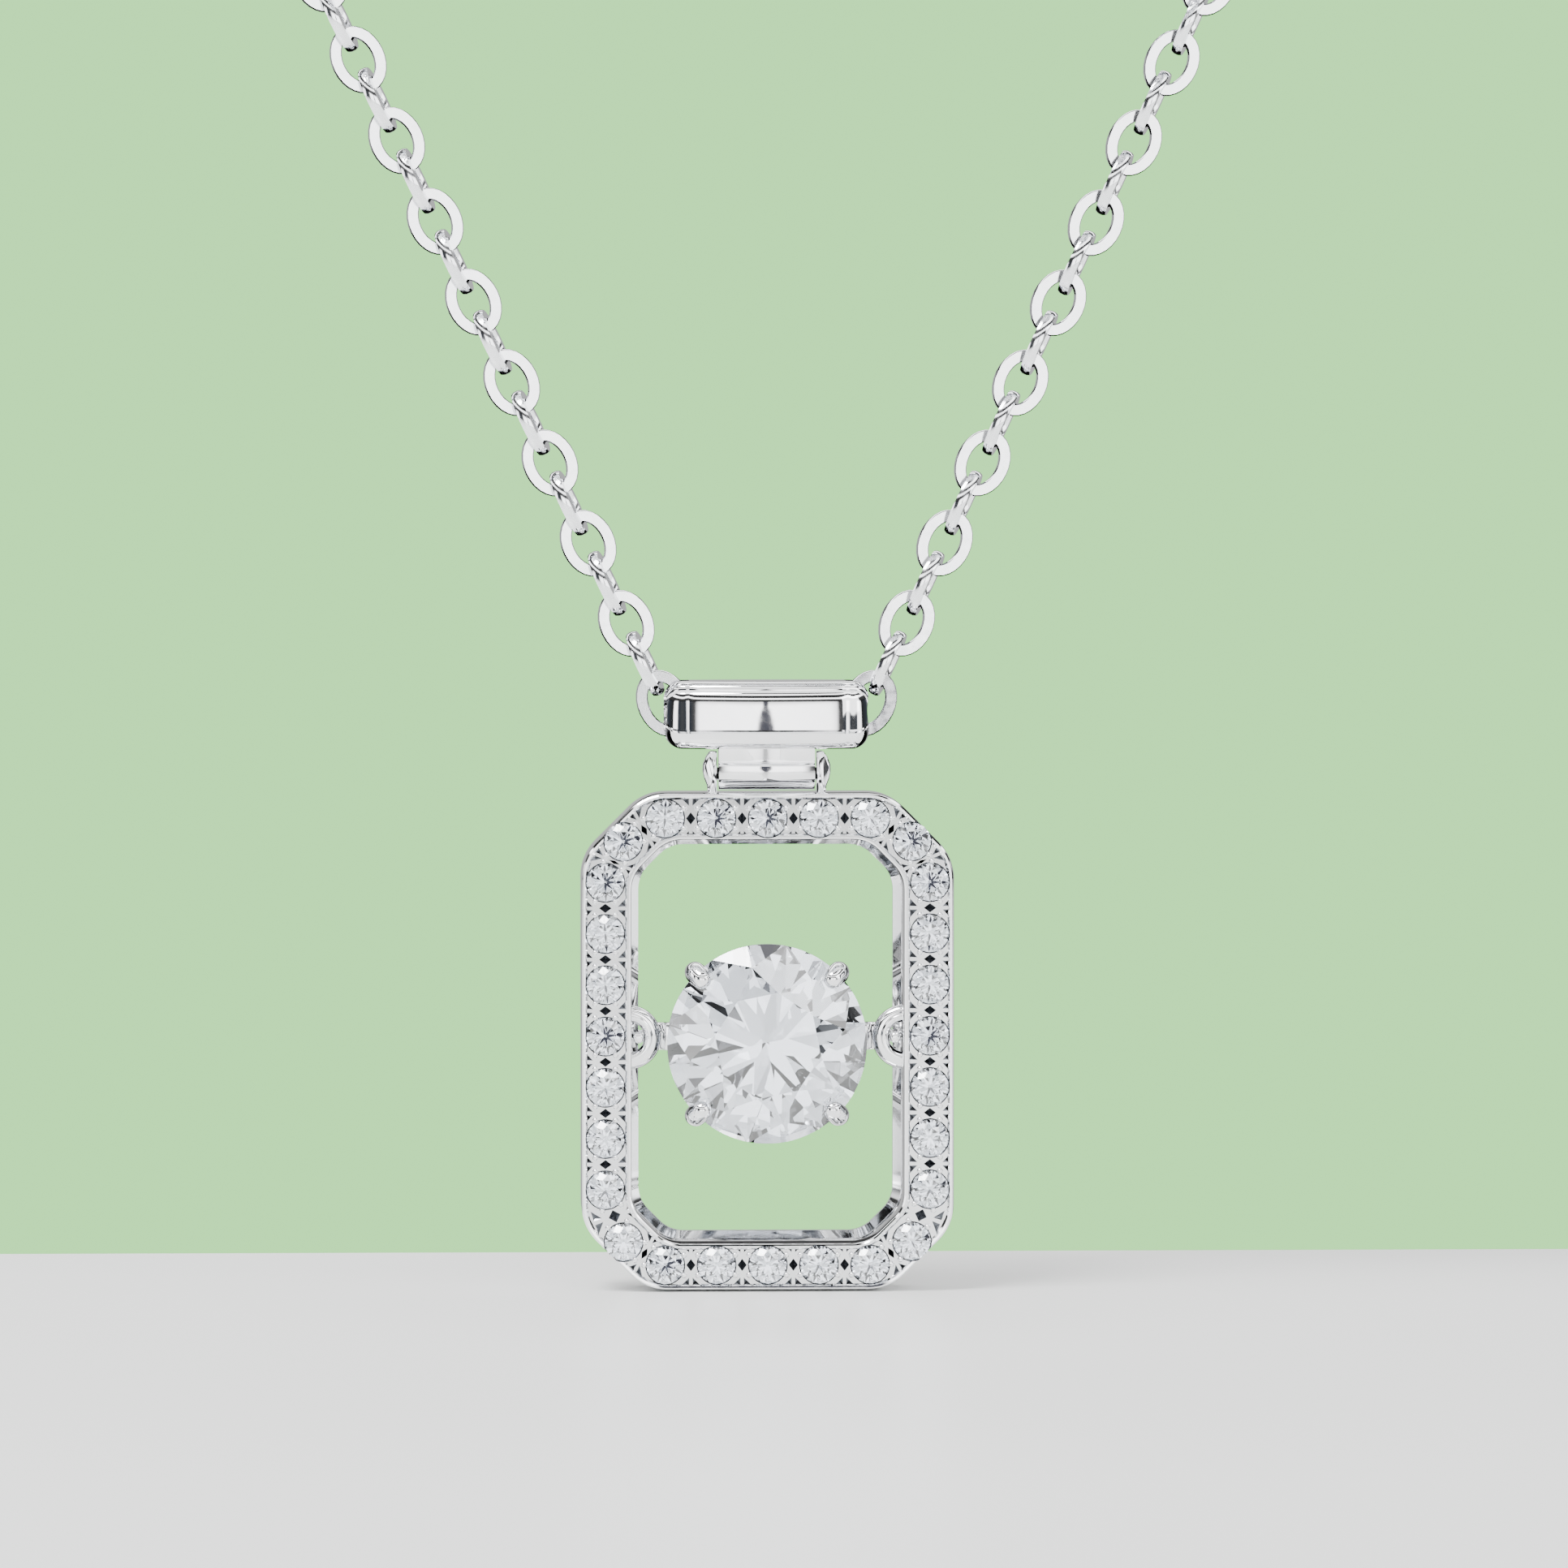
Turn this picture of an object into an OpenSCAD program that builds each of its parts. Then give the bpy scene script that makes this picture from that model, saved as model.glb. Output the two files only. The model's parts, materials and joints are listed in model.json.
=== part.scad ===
// Octagonal open-frame pendant with a swinging centre stone, on a silver cable chain.
// The chain is wound over two display pegs. The origin lies midway between the pegs' axes.
// +X is the wearer's left, -Y the front and +Z up. All sizes are in millimetres.

/* [Frame] */
// Width of the octagonal frame
frame_w = 9.3; // [9.1:0.1:9.5]
// Height of the octagonal frame
frame_h = 12.4; // [12.2:0.1:12.6]
// Depth of the frame, front to back
frame_d = 2.0; // [1.9:0.1:2.2]
// Width of the stone-set band at each side
side_band = 1.25; // [1.2:0.05:1.3]
// Width of the stone-set band at top and bottom
end_band = 1.15; // [1.15:0.05:1.25]
// Diameter of each small pave stone
pave_d = 0.95; // [0.85:0.05:0.95]

/* [Centre stone] */
// Diameter of the round centre stone
stone_d = 5.0; // [4.9:0.05:5.0]
// Height of the stone's crown above its girdle
crown_h = 0.75; // [0.65:0.05:0.8]
// Depth of the stone's pavilion below its girdle
pavilion_h = 2.15; // [2.0:0.05:2.15]

/* [Bail] */
// Width of the cap that the chain runs through
cap_w = 5.12; // [5.0:0.02:5.2]
// Height of the cap
cap_h = 1.72; // [1.7:0.02:1.8]
// Depth of the cap, front to back
cap_d = 2.8; // [2.8:0.1:3.0]

/* [Chain] */
// Outer length of one oval link
link_l = 1.76; // [1.74:0.01:1.77]
// Outer width of one oval link
link_w = 1.36; // [1.34:0.01:1.37]
// Thickness of the link wire
wire_d = 0.32; // [0.31:0.01:0.32]
// Lean of the two hanging strands from upright, in degrees
strand_lean = 25.4; // [24:0.1:26]
// Height of the pegs' axes above the frame's lowest face
hang_drop = 38; // [38:0.5:40]
// Radius at which the chain's middle bends round each peg
fold_r = 4.05; // [4.05:0.05:4.3]
// Turns of each half of the chain round the pegs
half_turns = 3; // [3:1:4]

/* [Clasp] */
// Outer radius of the clasp's hook
hook_r = 1.75; // [1.7:0.05:1.9]
// Thickness of the clasp
clasp_t = 1.1; // [1.0:0.05:1.2]

/* [Hidden] */
$fn = 48;
eps = 0.01;

silver = [0.83, 0.84, 0.86];
clear_stone = [0.90, 0.93, 0.96];

// Heights, measured from the pegs' axes
frame_bottom = -hang_drop;
frame_mid = frame_bottom + frame_h / 2;
frame_top = frame_bottom + frame_h;
hinge_z = frame_top + 0.46;
cap_z = frame_top + 1.95;
cap_bottom = cap_z - cap_h / 2;
rock_z = frame_mid + 0.06;
stone_z = frame_mid - 0.09;

// Frame
outer_cut = 1.6;
inner_cut = 0.9;
opening_w = frame_w - 2 * side_band;
opening_h = frame_h - 2 * end_band;
back_rim_w = 0.2;
back_rim_d = 0.3;
wall_x = opening_w / 2;

// Pave stones: each girdle lies just below the frame's front face
pave_r = pave_d / 2;
pave_sink = 0.05;
pave_crown = 0.16;
pave_depth = 0.42;
pave_table_r = 0.26;
azure_r = 0.2;
pave_pitch = 1.28;
column_rise = 0.14;
row_z = frame_h / 2 - 0.62;
column_x = frame_w / 2 - 0.6;
corner_x = 3.6;
corner_z = 5.0;
top_spots = [for (i = [-2 : 2]) [i * pave_pitch, row_z]];
bottom_spots = [for (i = [-2 : 2]) [i * pave_pitch, -row_z]];
left_spots = [for (i = [-3 : 3]) [-column_x, i * pave_pitch + column_rise]];
right_spots = [for (i = [-3 : 3]) [column_x, i * pave_pitch + column_rise]];
corner_spots = [for (sx = [-1, 1], sz = [-1, 1]) [sx * corner_x, sz * corner_z]];
pave_spots = concat(top_spots, bottom_spots, left_spots, right_spots, corner_spots);

// Grains: one each side of the gap between two stones of a straight row
grain_r = 0.09;
grain_h = 0.12;
grain_off = 0.36;

// Eyelets on the frame's inner walls, and the setting's hooks in them
eyelet_wire_r = 0.215;
eyelet_r = 0.595;
hook_pin_r = 0.14;
hook_pin_x = wall_x - 0.19;
hook_front = -0.36;
arm_front = 0.36;
arm_back = 0.6;
arm_half_h = 0.15;
plate_in = 2.05;
plate_out = 2.54;
plate_half_h = 0.34;

// Centre stone and its basket
stone_r = stone_d / 2;
table_r = stone_r * 0.54;
girdle_y = -0.40;
girdle_t = 0.08;
rail_y = 0.35;
rail_r = 1.98;
rail_wire_r = 0.16;
base_y = 1.25;
base_r = 1.05;
base_wire_r = 0.16;
prong_r = 0.24;
seat_gap = 0.01;
notch_up = 0.08;
notch_down = 0.35;

// Bail: cap, neck and the staple that the frame hangs by
chain_hole_r = 0.72;
cap_corner = 0.45;
cap_edge = 0.6;
cap_bow_r = 6.0;
mouth_l = 0.61;
mouth_half_angle = 33;
neck_w = 2.4;
neck_d = 1.0;
collar_d = 1.24;
collar_low = 0.12;
collar_high = 0.22;
neck_bow_r = 2.5;
barrel_r = 0.40;
pin_r = 0.16;
pin_gap = 0.03;
lug_t = 0.31;
lug_gap = 0.05;
lug_depth = 0.56;
lug_top_r = 0.60;

// Chain: the first hanging link stands in each mouth of the cap
link_gap = 0.012;
link_pitch = link_l - 2 * wire_d - link_gap;
bend_r = link_w / 2 - wire_d / 2;
straight_half = (link_l - link_w) / 2;
inside_links = 4;
inside_pitch = link_pitch - 0.008;
mouth_link_x = cap_w / 2;
mouth_link_z = cap_z + 0.27;
peg_x = mouth_link_x - mouth_link_z * tan(strand_lean) - fold_r / cos(strand_lean);
strand_l = (peg_x - mouth_link_x) * sin(strand_lean) - mouth_link_z * cos(strand_lean);
landing_l = 3.5;
strand_links = floor((strand_l - landing_l) / link_pitch) + 1;
turn_pitch = 1.42;
strand_drift = turn_pitch / 2;
winding_depth = turn_pitch * (2 * half_turns + 1) + link_w;
winding_top = fold_r + link_w / 2;
tail_z = winding_top + link_w / 2 + eps;

// Clasp: it lies closed across the winding's top, along a line turned from +X
clasp_turn = 33.7;
ring_wire_r = 0.18;
ring_r = 0.92;
clasp_z = winding_top + ring_r + ring_wire_r + eps;
hook_x = 1.25;
hook_hole_r = 1.05;
eye_x = -3.1;
eye_r = 0.72;
eye_hole_r = 0.38;
pivot_x = -0.85;
pivot_y = 0.62;
pivot_r = 0.16;
pivot_gap = 0.03;
boss_r = 0.4;
tab_x = -1.75;
slot_back_x = -1.35;
slot_floor_y = -0.1;
slot_t = 0.76;
gap_end_r = 2.6;
gap_play = 0.05;
lever_t = 0.5;
spring_gap = 0.02;
spring_t = 0.1;
spring_r = 0.34;
eye_t = 0.6;
eye_end_x = -2.4;
clasp_shift = 0.68;
catch_ring_x = hook_x + (hook_r + hook_hole_r) / 2 + 0.05;
eye_ring_x = eye_x - 0.05 - ring_r;
tail_far_x = 7.2;
tail_near_x = 4.6;

// An octagon: a rectangle with four equal corners cut off
module octagon(w, h, cut) {
    polygon([
        [w / 2, h / 2 - cut], [w / 2 - cut, h / 2], [cut - w / 2, h / 2], [-w / 2, h / 2 - cut],
        [-w / 2, cut - h / 2], [cut - w / 2, -h / 2], [w / 2 - cut, -h / 2], [w / 2, cut - h / 2]
    ]);
}

module rounded_rect(w, h, r) {
    square([w - 2 * r, h], center = true);
    square([w, h - 2 * r], center = true);
    for (sx = [-1, 1], sy = [-1, 1])
        translate([sx * (w / 2 - r), sy * (h / 2 - r)]) circle(r);
}

// Extrudes an outline drawn as (x, z) from y = front to y = back
module upright(front, back) {
    translate([0, back, 0]) rotate([90, 0, 0]) linear_extrude(back - front) children();
}

// Extrudes an outline drawn as (y, z) along X, centred
module crosswise(w) {
    rotate([90, 0, 90]) linear_extrude(w, center = true) children();
}

// An upright column bowed at the front and back, depth across at its middle
module lens(bow_r, depth, h) {
    linear_extrude(h, center = true)
        intersection() {
            translate([0, bow_r - depth / 2]) circle(bow_r, $fn = 180);
            translate([0, depth / 2 - bow_r]) circle(bow_r, $fn = 180);
        }
}

module pin_x(r, l) {
    rotate([0, 90, 0]) cylinder(r = r, h = l, center = true);
}

module rod(a, b, r) {
    d = b - a;
    translate(a)
        rotate([0, acos(d[2] / norm(d)), atan2(d[1], d[0])]) cylinder(r = r, h = norm(d));
}

// A round wire ring about the Y axis
module wire_ring(r, wire_r) {
    rotate([90, 0, 0]) rotate_extrude() translate([r, 0]) circle(wire_r);
}

// One oval link, long in Z, lying in the XZ plane
module oval_link() {
    for (end = [0, 180])
        rotate([0, end, 0]) {
            translate([0, 0, straight_half])
                rotate([90, 0, 0]) rotate_extrude(angle = 180) translate([bend_r, 0]) circle(d = wire_d);
            translate([bend_r, 0, 0])
                cylinder(d = wire_d, h = 2 * straight_half, center = true);
        }
}

// side is -1 for the left strand and 1 for the right one
module strand(side) {
    for (i = [0 : strand_links - 1]) {
        along = i * link_pitch;
        translate([
            side * (mouth_link_x + along * sin(strand_lean)),
            side * strand_drift * along / strand_l,
            mouth_link_z + along * cos(strand_lean)
        ])
            rotate([0, side * strand_lean, 0]) rotate([0, 0, 90 * (i % 2)]) oval_link();
    }
}

module left_strand() {
    color(silver) strand(-1);
}

module right_strand() {
    color(silver) strand(1);
}

// The links in the cap's hole. Each is turned a little over a quarter from the last, so that both
// links at the cap's mouths face the front.
module bail_links() {
    color(silver)
        for (i = [1 : inside_links])
            translate([(i - (inside_links + 1) / 2) * inside_pitch, 0, cap_z])
                rotate([0, 90, 0]) rotate([0, 0, i * 540 / (inside_links + 1)]) oval_link();
}

// The outer shape of the chain's turns round the two pegs
module racetrack(r) {
    square([2 * peg_x, 2 * r], center = true);
    for (sx = [-1, 1])
        translate([sx * peg_x, 0]) circle(r, $fn = 96);
}

module chain_winding() {
    color(silver)
        upright(-winding_depth / 2, winding_depth / 2)
            difference() {
                racetrack(fold_r + link_w / 2);
                racetrack(fold_r - link_w / 2);
            }
}

// The chain's last stretch, lying across the winding's top to the clasp
module tail(side) {
    turn = side > 0 ? clasp_turn : clasp_turn + 180;
    rotate([0, 0, turn])
        translate([(tail_far_x + tail_near_x) / 2, 0, tail_z])
            pin_x(link_w / 2, tail_far_x - tail_near_x);
}

module left_tail() {
    color(silver) tail(-1);
}

module right_tail() {
    color(silver) tail(1);
}

// Places clasp pieces, drawn flat about their own origin
module on_winding() {
    translate([0, 0, clasp_z]) rotate([0, 0, clasp_turn]) translate([clasp_shift, 0, 0]) children();
}

// A flat round disc in the clasp's plane
module disc(x, y, r, t) {
    translate([x, y, 0]) cylinder(r = r, h = t, center = true);
}

// The clasp before its holes are made: the hook's disc, the eye's disc and the handle
module clasp_blank() {
    disc(hook_x, 0, hook_r, clasp_t);
    disc(eye_x, 0, eye_r, clasp_t);
    linear_extrude(clasp_t, center = true)
        polygon([
            [eye_x + 0.1, -0.66], [eye_x + 0.1, 0.66], [-1.6, 1.1], [0.4, 1.45],
            [0.4, -1.45], [-1.6, -1.1]
        ]);
}

// The gap in the hook that the lever's arm closes. It ends on an arc about the lever's pin.
module hook_gap() {
    left = hook_x - hook_hole_r - 0.1;
    intersection() {
        polygon([[left, 0.1], [left, 3], [hook_x + hook_r, 3], [hook_x + hook_r, 0.1]]);
        translate([pivot_x, pivot_y]) circle(gap_end_r);
    }
}

// The slot between the clasp's two cheeks, where the lever turns
module lever_slot() {
    polygon([[slot_back_x, slot_floor_y], [slot_back_x - 0.3, 3], [hook_x, 3], [hook_x, slot_floor_y]]);
}

// The lever: the arm that closes the hook, its boss on the pin and the thumb tab
module lever_outline() {
    intersection() {
        difference() {
            translate([hook_x, 0]) circle(hook_r);
            translate([hook_x, 0]) circle(hook_hole_r);
        }
        polygon([[-0.2, 0.75], [-0.2, 3], [hook_x + hook_r, 3], [hook_x + hook_r, 0.75]]);
        translate([pivot_x, pivot_y]) circle(gap_end_r - gap_play);
    }
    translate([pivot_x, pivot_y]) circle(boss_r);
    polygon([
        [pivot_x, pivot_y - boss_r], [0.15, pivot_y], [0.25, 1.3], [pivot_x, 1.45],
        [tab_x + 0.2, 1.8], [tab_x, 1.65], [pivot_x - boss_r, pivot_y]
    ]);
}

module clasp_body() {
    color(silver)
        on_winding()
            difference() {
                clasp_blank();
                disc(hook_x, 0, hook_hole_r, 2 * clasp_t);
                disc(eye_x, 0, eye_hole_r, 2 * clasp_t);
                disc(pivot_x, pivot_y, pivot_r, 2 * clasp_t);
                linear_extrude(slot_t, center = true) lever_slot();
                linear_extrude(2 * clasp_t, center = true) hook_gap();
                for (up = [0, 1])
                    mirror([0, 0, up])
                        translate([eye_end_x - hook_r, -hook_r, eye_t / 2])
                            cube([hook_r, 2 * hook_r, clasp_t]);
            }
}

module clasp_lever() {
    color(silver)
        on_winding()
            difference() {
                linear_extrude(lever_t, center = true) lever_outline();
                disc(pivot_x, pivot_y, pivot_r + pivot_gap, 2 * clasp_t);
            }
}

module clasp_pivot_pin() {
    color(silver) on_winding() disc(pivot_x, pivot_y, pivot_r, clasp_t);
}

// The flat coil round the pin, between the lever and the upper cheek
module clasp_spring() {
    color(silver)
        on_winding()
            translate([pivot_x, pivot_y, lever_t / 2 + spring_gap])
                difference() {
                    cylinder(r = spring_r, h = spring_t);
                    translate([0, 0, -eps]) cylinder(r = pivot_r + spring_gap, h = spring_t + 2 * eps);
                }
}

module clasp_jump_ring() {
    color(silver) on_winding() translate([eye_ring_x, 0, 0]) wire_ring(ring_r, ring_wire_r);
}

module catch_ring() {
    color(silver) on_winding() translate([catch_ring_x, 0, 0]) wire_ring(ring_r, ring_wire_r);
}

// The opening above the chain at one end of the cap, which lets the cap swing
module mouth(side) {
    reach = 2 * cap_h;
    half_w = reach * tan(mouth_half_angle);
    translate([side * (cap_w - mouth_l) / 2 + side * eps, 0, cap_z])
        crosswise(mouth_l + 2 * eps)
            polygon([[0, 0], [half_w, reach], [-half_w, reach]]);
}

module cap_band() {
    color(silver)
        difference() {
            translate([0, 0, cap_z])
                intersection() {
                    upright(-cap_d, cap_d) rounded_rect(cap_w, cap_h, cap_corner);
                    crosswise(2 * cap_w) rounded_rect(cap_d, cap_h, cap_edge);
                    lens(cap_bow_r, cap_d, 2 * cap_h);
                }
            translate([0, 0, cap_z]) pin_x(chain_hole_r, 2 * cap_w);
            for (side = [-1, 1])
                mouth(side);
        }
}

// The neck seen from the side, about the hinge: a barrel, a collar and a plinth
module neck_profile() {
    circle(barrel_r);
    translate([-collar_d / 2, -collar_low]) square([collar_d, collar_low + collar_high]);
    translate([-neck_d / 2, 0]) square([neck_d, cap_bottom - hinge_z]);
}

module neck_band() {
    color(silver)
        translate([0, 0, hinge_z])
            difference() {
                intersection() {
                    crosswise(neck_w) neck_profile();
                    lens(neck_bow_r, collar_d, 2 * cap_h);
                }
                pin_x(pin_r + pin_gap, 2 * neck_w);
            }
}

// The staple on the frame's top: two lugs and the pin that the neck turns on
module hinge_staple() {
    lug_x = neck_w / 2 + lug_gap;
    color(silver)
        translate([0, 0, hinge_z]) {
            pin_x(pin_r, 2 * lug_x + 2 * eps);
            for (side = [-1, 1])
                translate([side * (lug_x + lug_t / 2), 0, 0])
                    intersection() {
                        pin_x(lug_top_r, lug_t);
                        translate([-lug_t, -lug_depth / 2, frame_top - hinge_z])
                            cube([2 * lug_t, lug_depth, 2 * lug_top_r]);
                    }
        }
}

// One pave seat: a recess that fits the stone, and the open hole behind it
module pave_seat() {
    front = -frame_d / 2;
    translate([0, front + pave_sink, 0]) rotate([90, 0, 0]) cylinder(r = pave_r, h = pave_sink + eps);
    translate([0, front + pave_sink, 0])
        rotate([-90, 0, 0]) cylinder(r1 = pave_r, r2 = 0, h = pave_depth);
    translate([0, front, 0]) rotate([-90, 0, 0]) cylinder(r = azure_r, h = frame_d + eps);
}

module grain_row(spots, across) {
    for (i = [0 : len(spots) - 2], s = [-1, 1]) {
        middle = (spots[i] + spots[i + 1]) / 2 + s * grain_off * across;
        translate([middle[0], -frame_d / 2 + eps, middle[1]])
            rotate([90, 0, 0]) cylinder(r = grain_r, h = grain_h, $fn = 16);
    }
}

module frame_body() {
    front = -frame_d / 2;
    back = frame_d / 2;
    color(silver)
        translate([0, 0, frame_mid]) {
            difference() {
                upright(front, back) octagon(frame_w, frame_h, outer_cut);
                upright(front - eps, back - back_rim_d) octagon(opening_w, opening_h, inner_cut);
                upright(front, back + eps)
                    octagon(opening_w - 2 * back_rim_w, opening_h - 2 * back_rim_w, inner_cut);
                for (spot = pave_spots)
                    translate([spot[0], 0, spot[1]]) pave_seat();
            }
            for (spots = [top_spots, bottom_spots])
                grain_row(spots, [0, 1]);
            for (spots = [left_spots, right_spots])
                grain_row(spots, [1, 0]);
        }
}

// Half a wire ring that springs from the frame's inner wall
module eyelet(side) {
    translate([side * wall_x, 0, rock_z])
        rotate([90, -side * 90, 0])
            rotate_extrude(angle = 180) translate([eyelet_r, 0]) circle(eyelet_wire_r);
}

module left_eyelet() {
    color(silver) eyelet(-1);
}

module right_eyelet() {
    color(silver) eyelet(1);
}

// A round-cut stone facing the front, with its girdle at y = 0
module round_stone(r, flat_r, crown, girdle, pavilion) {
    rotate([90, 0, 0]) cylinder(r1 = r, r2 = flat_r, h = crown);
    rotate([-90, 0, 0]) cylinder(r = r, h = girdle);
    translate([0, girdle, 0]) rotate([-90, 0, 0]) cylinder(r1 = r, r2 = 0, h = pavilion - girdle);
}

module pave_stones(spots) {
    color(clear_stone)
        for (spot = spots)
            translate([spot[0], -frame_d / 2 + pave_sink, frame_mid + spot[1]]) {
                rotate([90, 0, 0]) cylinder(r1 = pave_r, r2 = pave_table_r, h = pave_crown);
                rotate([-90, 0, 0]) cylinder(r1 = pave_r, r2 = 0, h = pave_depth);
            }
}

module top_stones() {
    pave_stones(top_spots);
}

module bottom_stones() {
    pave_stones(bottom_spots);
}

module left_stones() {
    pave_stones(left_spots);
}

module right_stones() {
    pave_stones(right_spots);
}

module corner_stones() {
    pave_stones(corner_spots);
}

module at_stone() {
    translate([0, 0, stone_z]) children();
}

module base_ring() {
    color(silver) at_stone() translate([0, base_y, 0]) wire_ring(base_r, base_wire_r);
}

module gallery_rail() {
    color(silver) at_stone() translate([0, rail_y, 0]) wire_ring(rail_r, rail_wire_r);
}

// One prong, from the base ring out past the girdle and over the crown's edge,
// turned about the stone's axis from the upper right one
module prong(turn) {
    outward = [1, 0, 1] / sqrt(2);
    foot = outward * (base_r + base_wire_r + 0.04) + [0, base_y, 0];
    knee = outward * (stone_r + 0.04) + [0, girdle_y + 0.2, 0];
    tip = outward * (stone_r - 0.12) + [0, girdle_y - 0.34, 0];
    color(silver)
        at_stone()
            rotate([0, turn, 0])
                difference() {
                    union() {
                        rod(foot, knee, prong_r);
                        rod(knee, tip, prong_r);
                        translate(knee) sphere(prong_r + 0.01);
                        translate(tip) sphere(prong_r + 0.03);
                    }
                    translate([0, girdle_y - notch_up, 0])
                        rotate([-90, 0, 0]) cylinder(r = stone_r + seat_gap, h = notch_up + notch_down);
                }
}

module upper_left_prong() {
    prong(-90);
}

module upper_right_prong() {
    prong(0);
}

module lower_left_prong() {
    prong(180);
}

module lower_right_prong() {
    prong(90);
}

// The hook that passes behind the eyelet's wire and forward through its hole
module setting_hook(side) {
    color(silver)
        difference() {
            translate([0, 0, rock_z])
                union() {
                    translate([side * (plate_in + plate_out) / 2, (0.1 + arm_back) / 2, 0])
                        cube([plate_out - plate_in, arm_back - 0.1, 2 * plate_half_h], center = true);
                    translate([side * (plate_out + hook_pin_x) / 2, (arm_front + arm_back) / 2, 0])
                        cube([hook_pin_x - plate_out + eps, arm_back - arm_front, 2 * arm_half_h],
                             center = true);
                    translate([side * hook_pin_x, arm_back, 0])
                        rotate([90, 0, 0]) cylinder(r = hook_pin_r, h = arm_back - hook_front);
                }
            at_stone() translate([0, rail_y, 0]) wire_ring(rail_r, rail_wire_r);
        }
}

module left_hook() {
    setting_hook(-1);
}

module right_hook() {
    setting_hook(1);
}

module centre_stone() {
    color(clear_stone)
        at_stone()
            translate([0, girdle_y, 0])
                round_stone(stone_r, table_r, crown_h, girdle_t, pavilion_h, $fn = 96);
}

left_strand();
right_strand();
bail_links();
chain_winding();
left_tail();
right_tail();
clasp_body();
clasp_lever();
clasp_pivot_pin();
clasp_spring();
clasp_jump_ring();
catch_ring();
cap_band();
neck_band();
hinge_staple();
frame_body();
left_eyelet();
right_eyelet();
top_stones();
bottom_stones();
left_stones();
right_stones();
corner_stones();
base_ring();
gallery_rail();
upper_left_prong();
upper_right_prong();
lower_left_prong();
lower_right_prong();
left_hook();
right_hook();
centre_stone();
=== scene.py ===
import json
import math

import bmesh
import bpy
from mathutils import Matrix, Vector


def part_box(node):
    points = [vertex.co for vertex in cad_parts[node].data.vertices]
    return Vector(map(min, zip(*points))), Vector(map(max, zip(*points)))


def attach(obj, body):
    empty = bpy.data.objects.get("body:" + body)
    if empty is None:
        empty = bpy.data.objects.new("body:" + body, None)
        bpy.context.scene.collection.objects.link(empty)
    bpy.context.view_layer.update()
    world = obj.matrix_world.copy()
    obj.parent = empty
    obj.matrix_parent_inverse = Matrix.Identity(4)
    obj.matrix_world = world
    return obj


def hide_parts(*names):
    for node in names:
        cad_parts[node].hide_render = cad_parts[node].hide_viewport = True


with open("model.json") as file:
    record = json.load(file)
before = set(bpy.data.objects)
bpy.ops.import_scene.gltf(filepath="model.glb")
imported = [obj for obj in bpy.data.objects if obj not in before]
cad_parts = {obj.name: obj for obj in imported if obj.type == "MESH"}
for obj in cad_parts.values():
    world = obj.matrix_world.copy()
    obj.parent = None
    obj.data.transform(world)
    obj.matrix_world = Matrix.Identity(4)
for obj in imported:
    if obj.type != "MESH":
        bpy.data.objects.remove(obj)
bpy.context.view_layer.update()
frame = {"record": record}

# Shapes are drawn in millimetres and scaled to metres when a piece is made.
MM = 0.001
UP = Vector((0, 0, 1))
ACROSS = Vector((1, 0, 0))
BACKWARD = Vector((0, 1, 0))


# ---------------- sizes from the frame

def node_box(name):
    """Lowest and highest corner of a CAD node, in millimetres."""
    low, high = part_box(name)
    return low / MM, high / MM


def middle(name):
    """Middle of a CAD node's box, in millimetres."""
    low, high = node_box(name)
    return (low + high) / 2


def joint_height(name):
    """Height of a joint's axis, in millimetres."""
    joint = next(j for j in frame["record"]["behaviour"]["joints"] if j["name"] == name)
    return joint["pos_m"][2] / MM


STONE_LOW, STONE_HIGH = node_box("centre_stone")
STONE_R = (STONE_HIGH.x - STONE_LOW.x) / 2
STONE_Z = middle("centre_stone").z
CROWN_H = 0.75
GIRDLE_Y = STONE_LOW.y + CROWN_H
PAVILION_H = STONE_HIGH.y - GIRDLE_Y
RAIL = middle("gallery_rail")
BASE_Y = middle("base_ring").y
CAP_LOW, CAP_HIGH = node_box("cap_band")
CAP_HALF_W = CAP_HIGH.x
CAP_Z = joint_height("bail_swing")
HINGE_Z = joint_height("frame_swing")
ROCK_Z = joint_height("stone_rock")
WALL_X = node_box("right_eyelet")[1].x
FRAME_LOW, FRAME_HIGH = node_box("frame_body")
FRAME_W = 2 * FRAME_HIGH.x
FRAME_H = FRAME_HIGH.z - FRAME_LOW.z
FRAME_Z = (FRAME_HIGH.z + FRAME_LOW.z) / 2
# The band's front face. The beads in the CAD stand out past it.
FRAME_FRONT = -FRAME_HIGH.y

# Chain: one oval link and the pegs that it is wound over
LINK_L = 1.76
LINK_W = 1.36
WIRE_D = 0.32
LINK_OVERLAP = 0.012
LINK_PITCH = LINK_L - 2 * WIRE_D - LINK_OVERLAP
STRAND_LEAN = math.radians(25.4)
FOLD_R = node_box("chain_winding")[1].z - LINK_W / 2
MOUTH_LINK = Vector((CAP_HALF_W, 0, CAP_Z + 0.27))
PEG_X = MOUTH_LINK.x - MOUTH_LINK.z * math.tan(STRAND_LEAN) - FOLD_R / math.cos(STRAND_LEAN)
TURN_PITCH = 1.42
TURNS_PER_HALF = 3

# Clasp, in its own flat drawing: the hook at +X, the eye at -X
CLASP_TURN = math.radians(33.7)
CLASP_SHIFT = 0.68
CLASP_Z = middle("clasp_jump_ring").z
CLASP_T = 1.1
HOOK_X = 1.25
HOOK_R = 1.75
HOOK_HOLE_R = 1.05
EYE_X = -3.1
EYE_R = 0.72
EYE_HOLE_R = 0.38
PIVOT_X = -0.85
PIVOT_Y = 0.62
PIVOT_R = 0.16
BOSS_R = 0.4
GAP_R = 2.6
LEVER_T = 0.5
RING_R = 0.92
RING_WIRE_R = 0.18
TAIL_END = 4.58
TAIL_Z = middle("left_tail").z


# ---------------- camera

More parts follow.
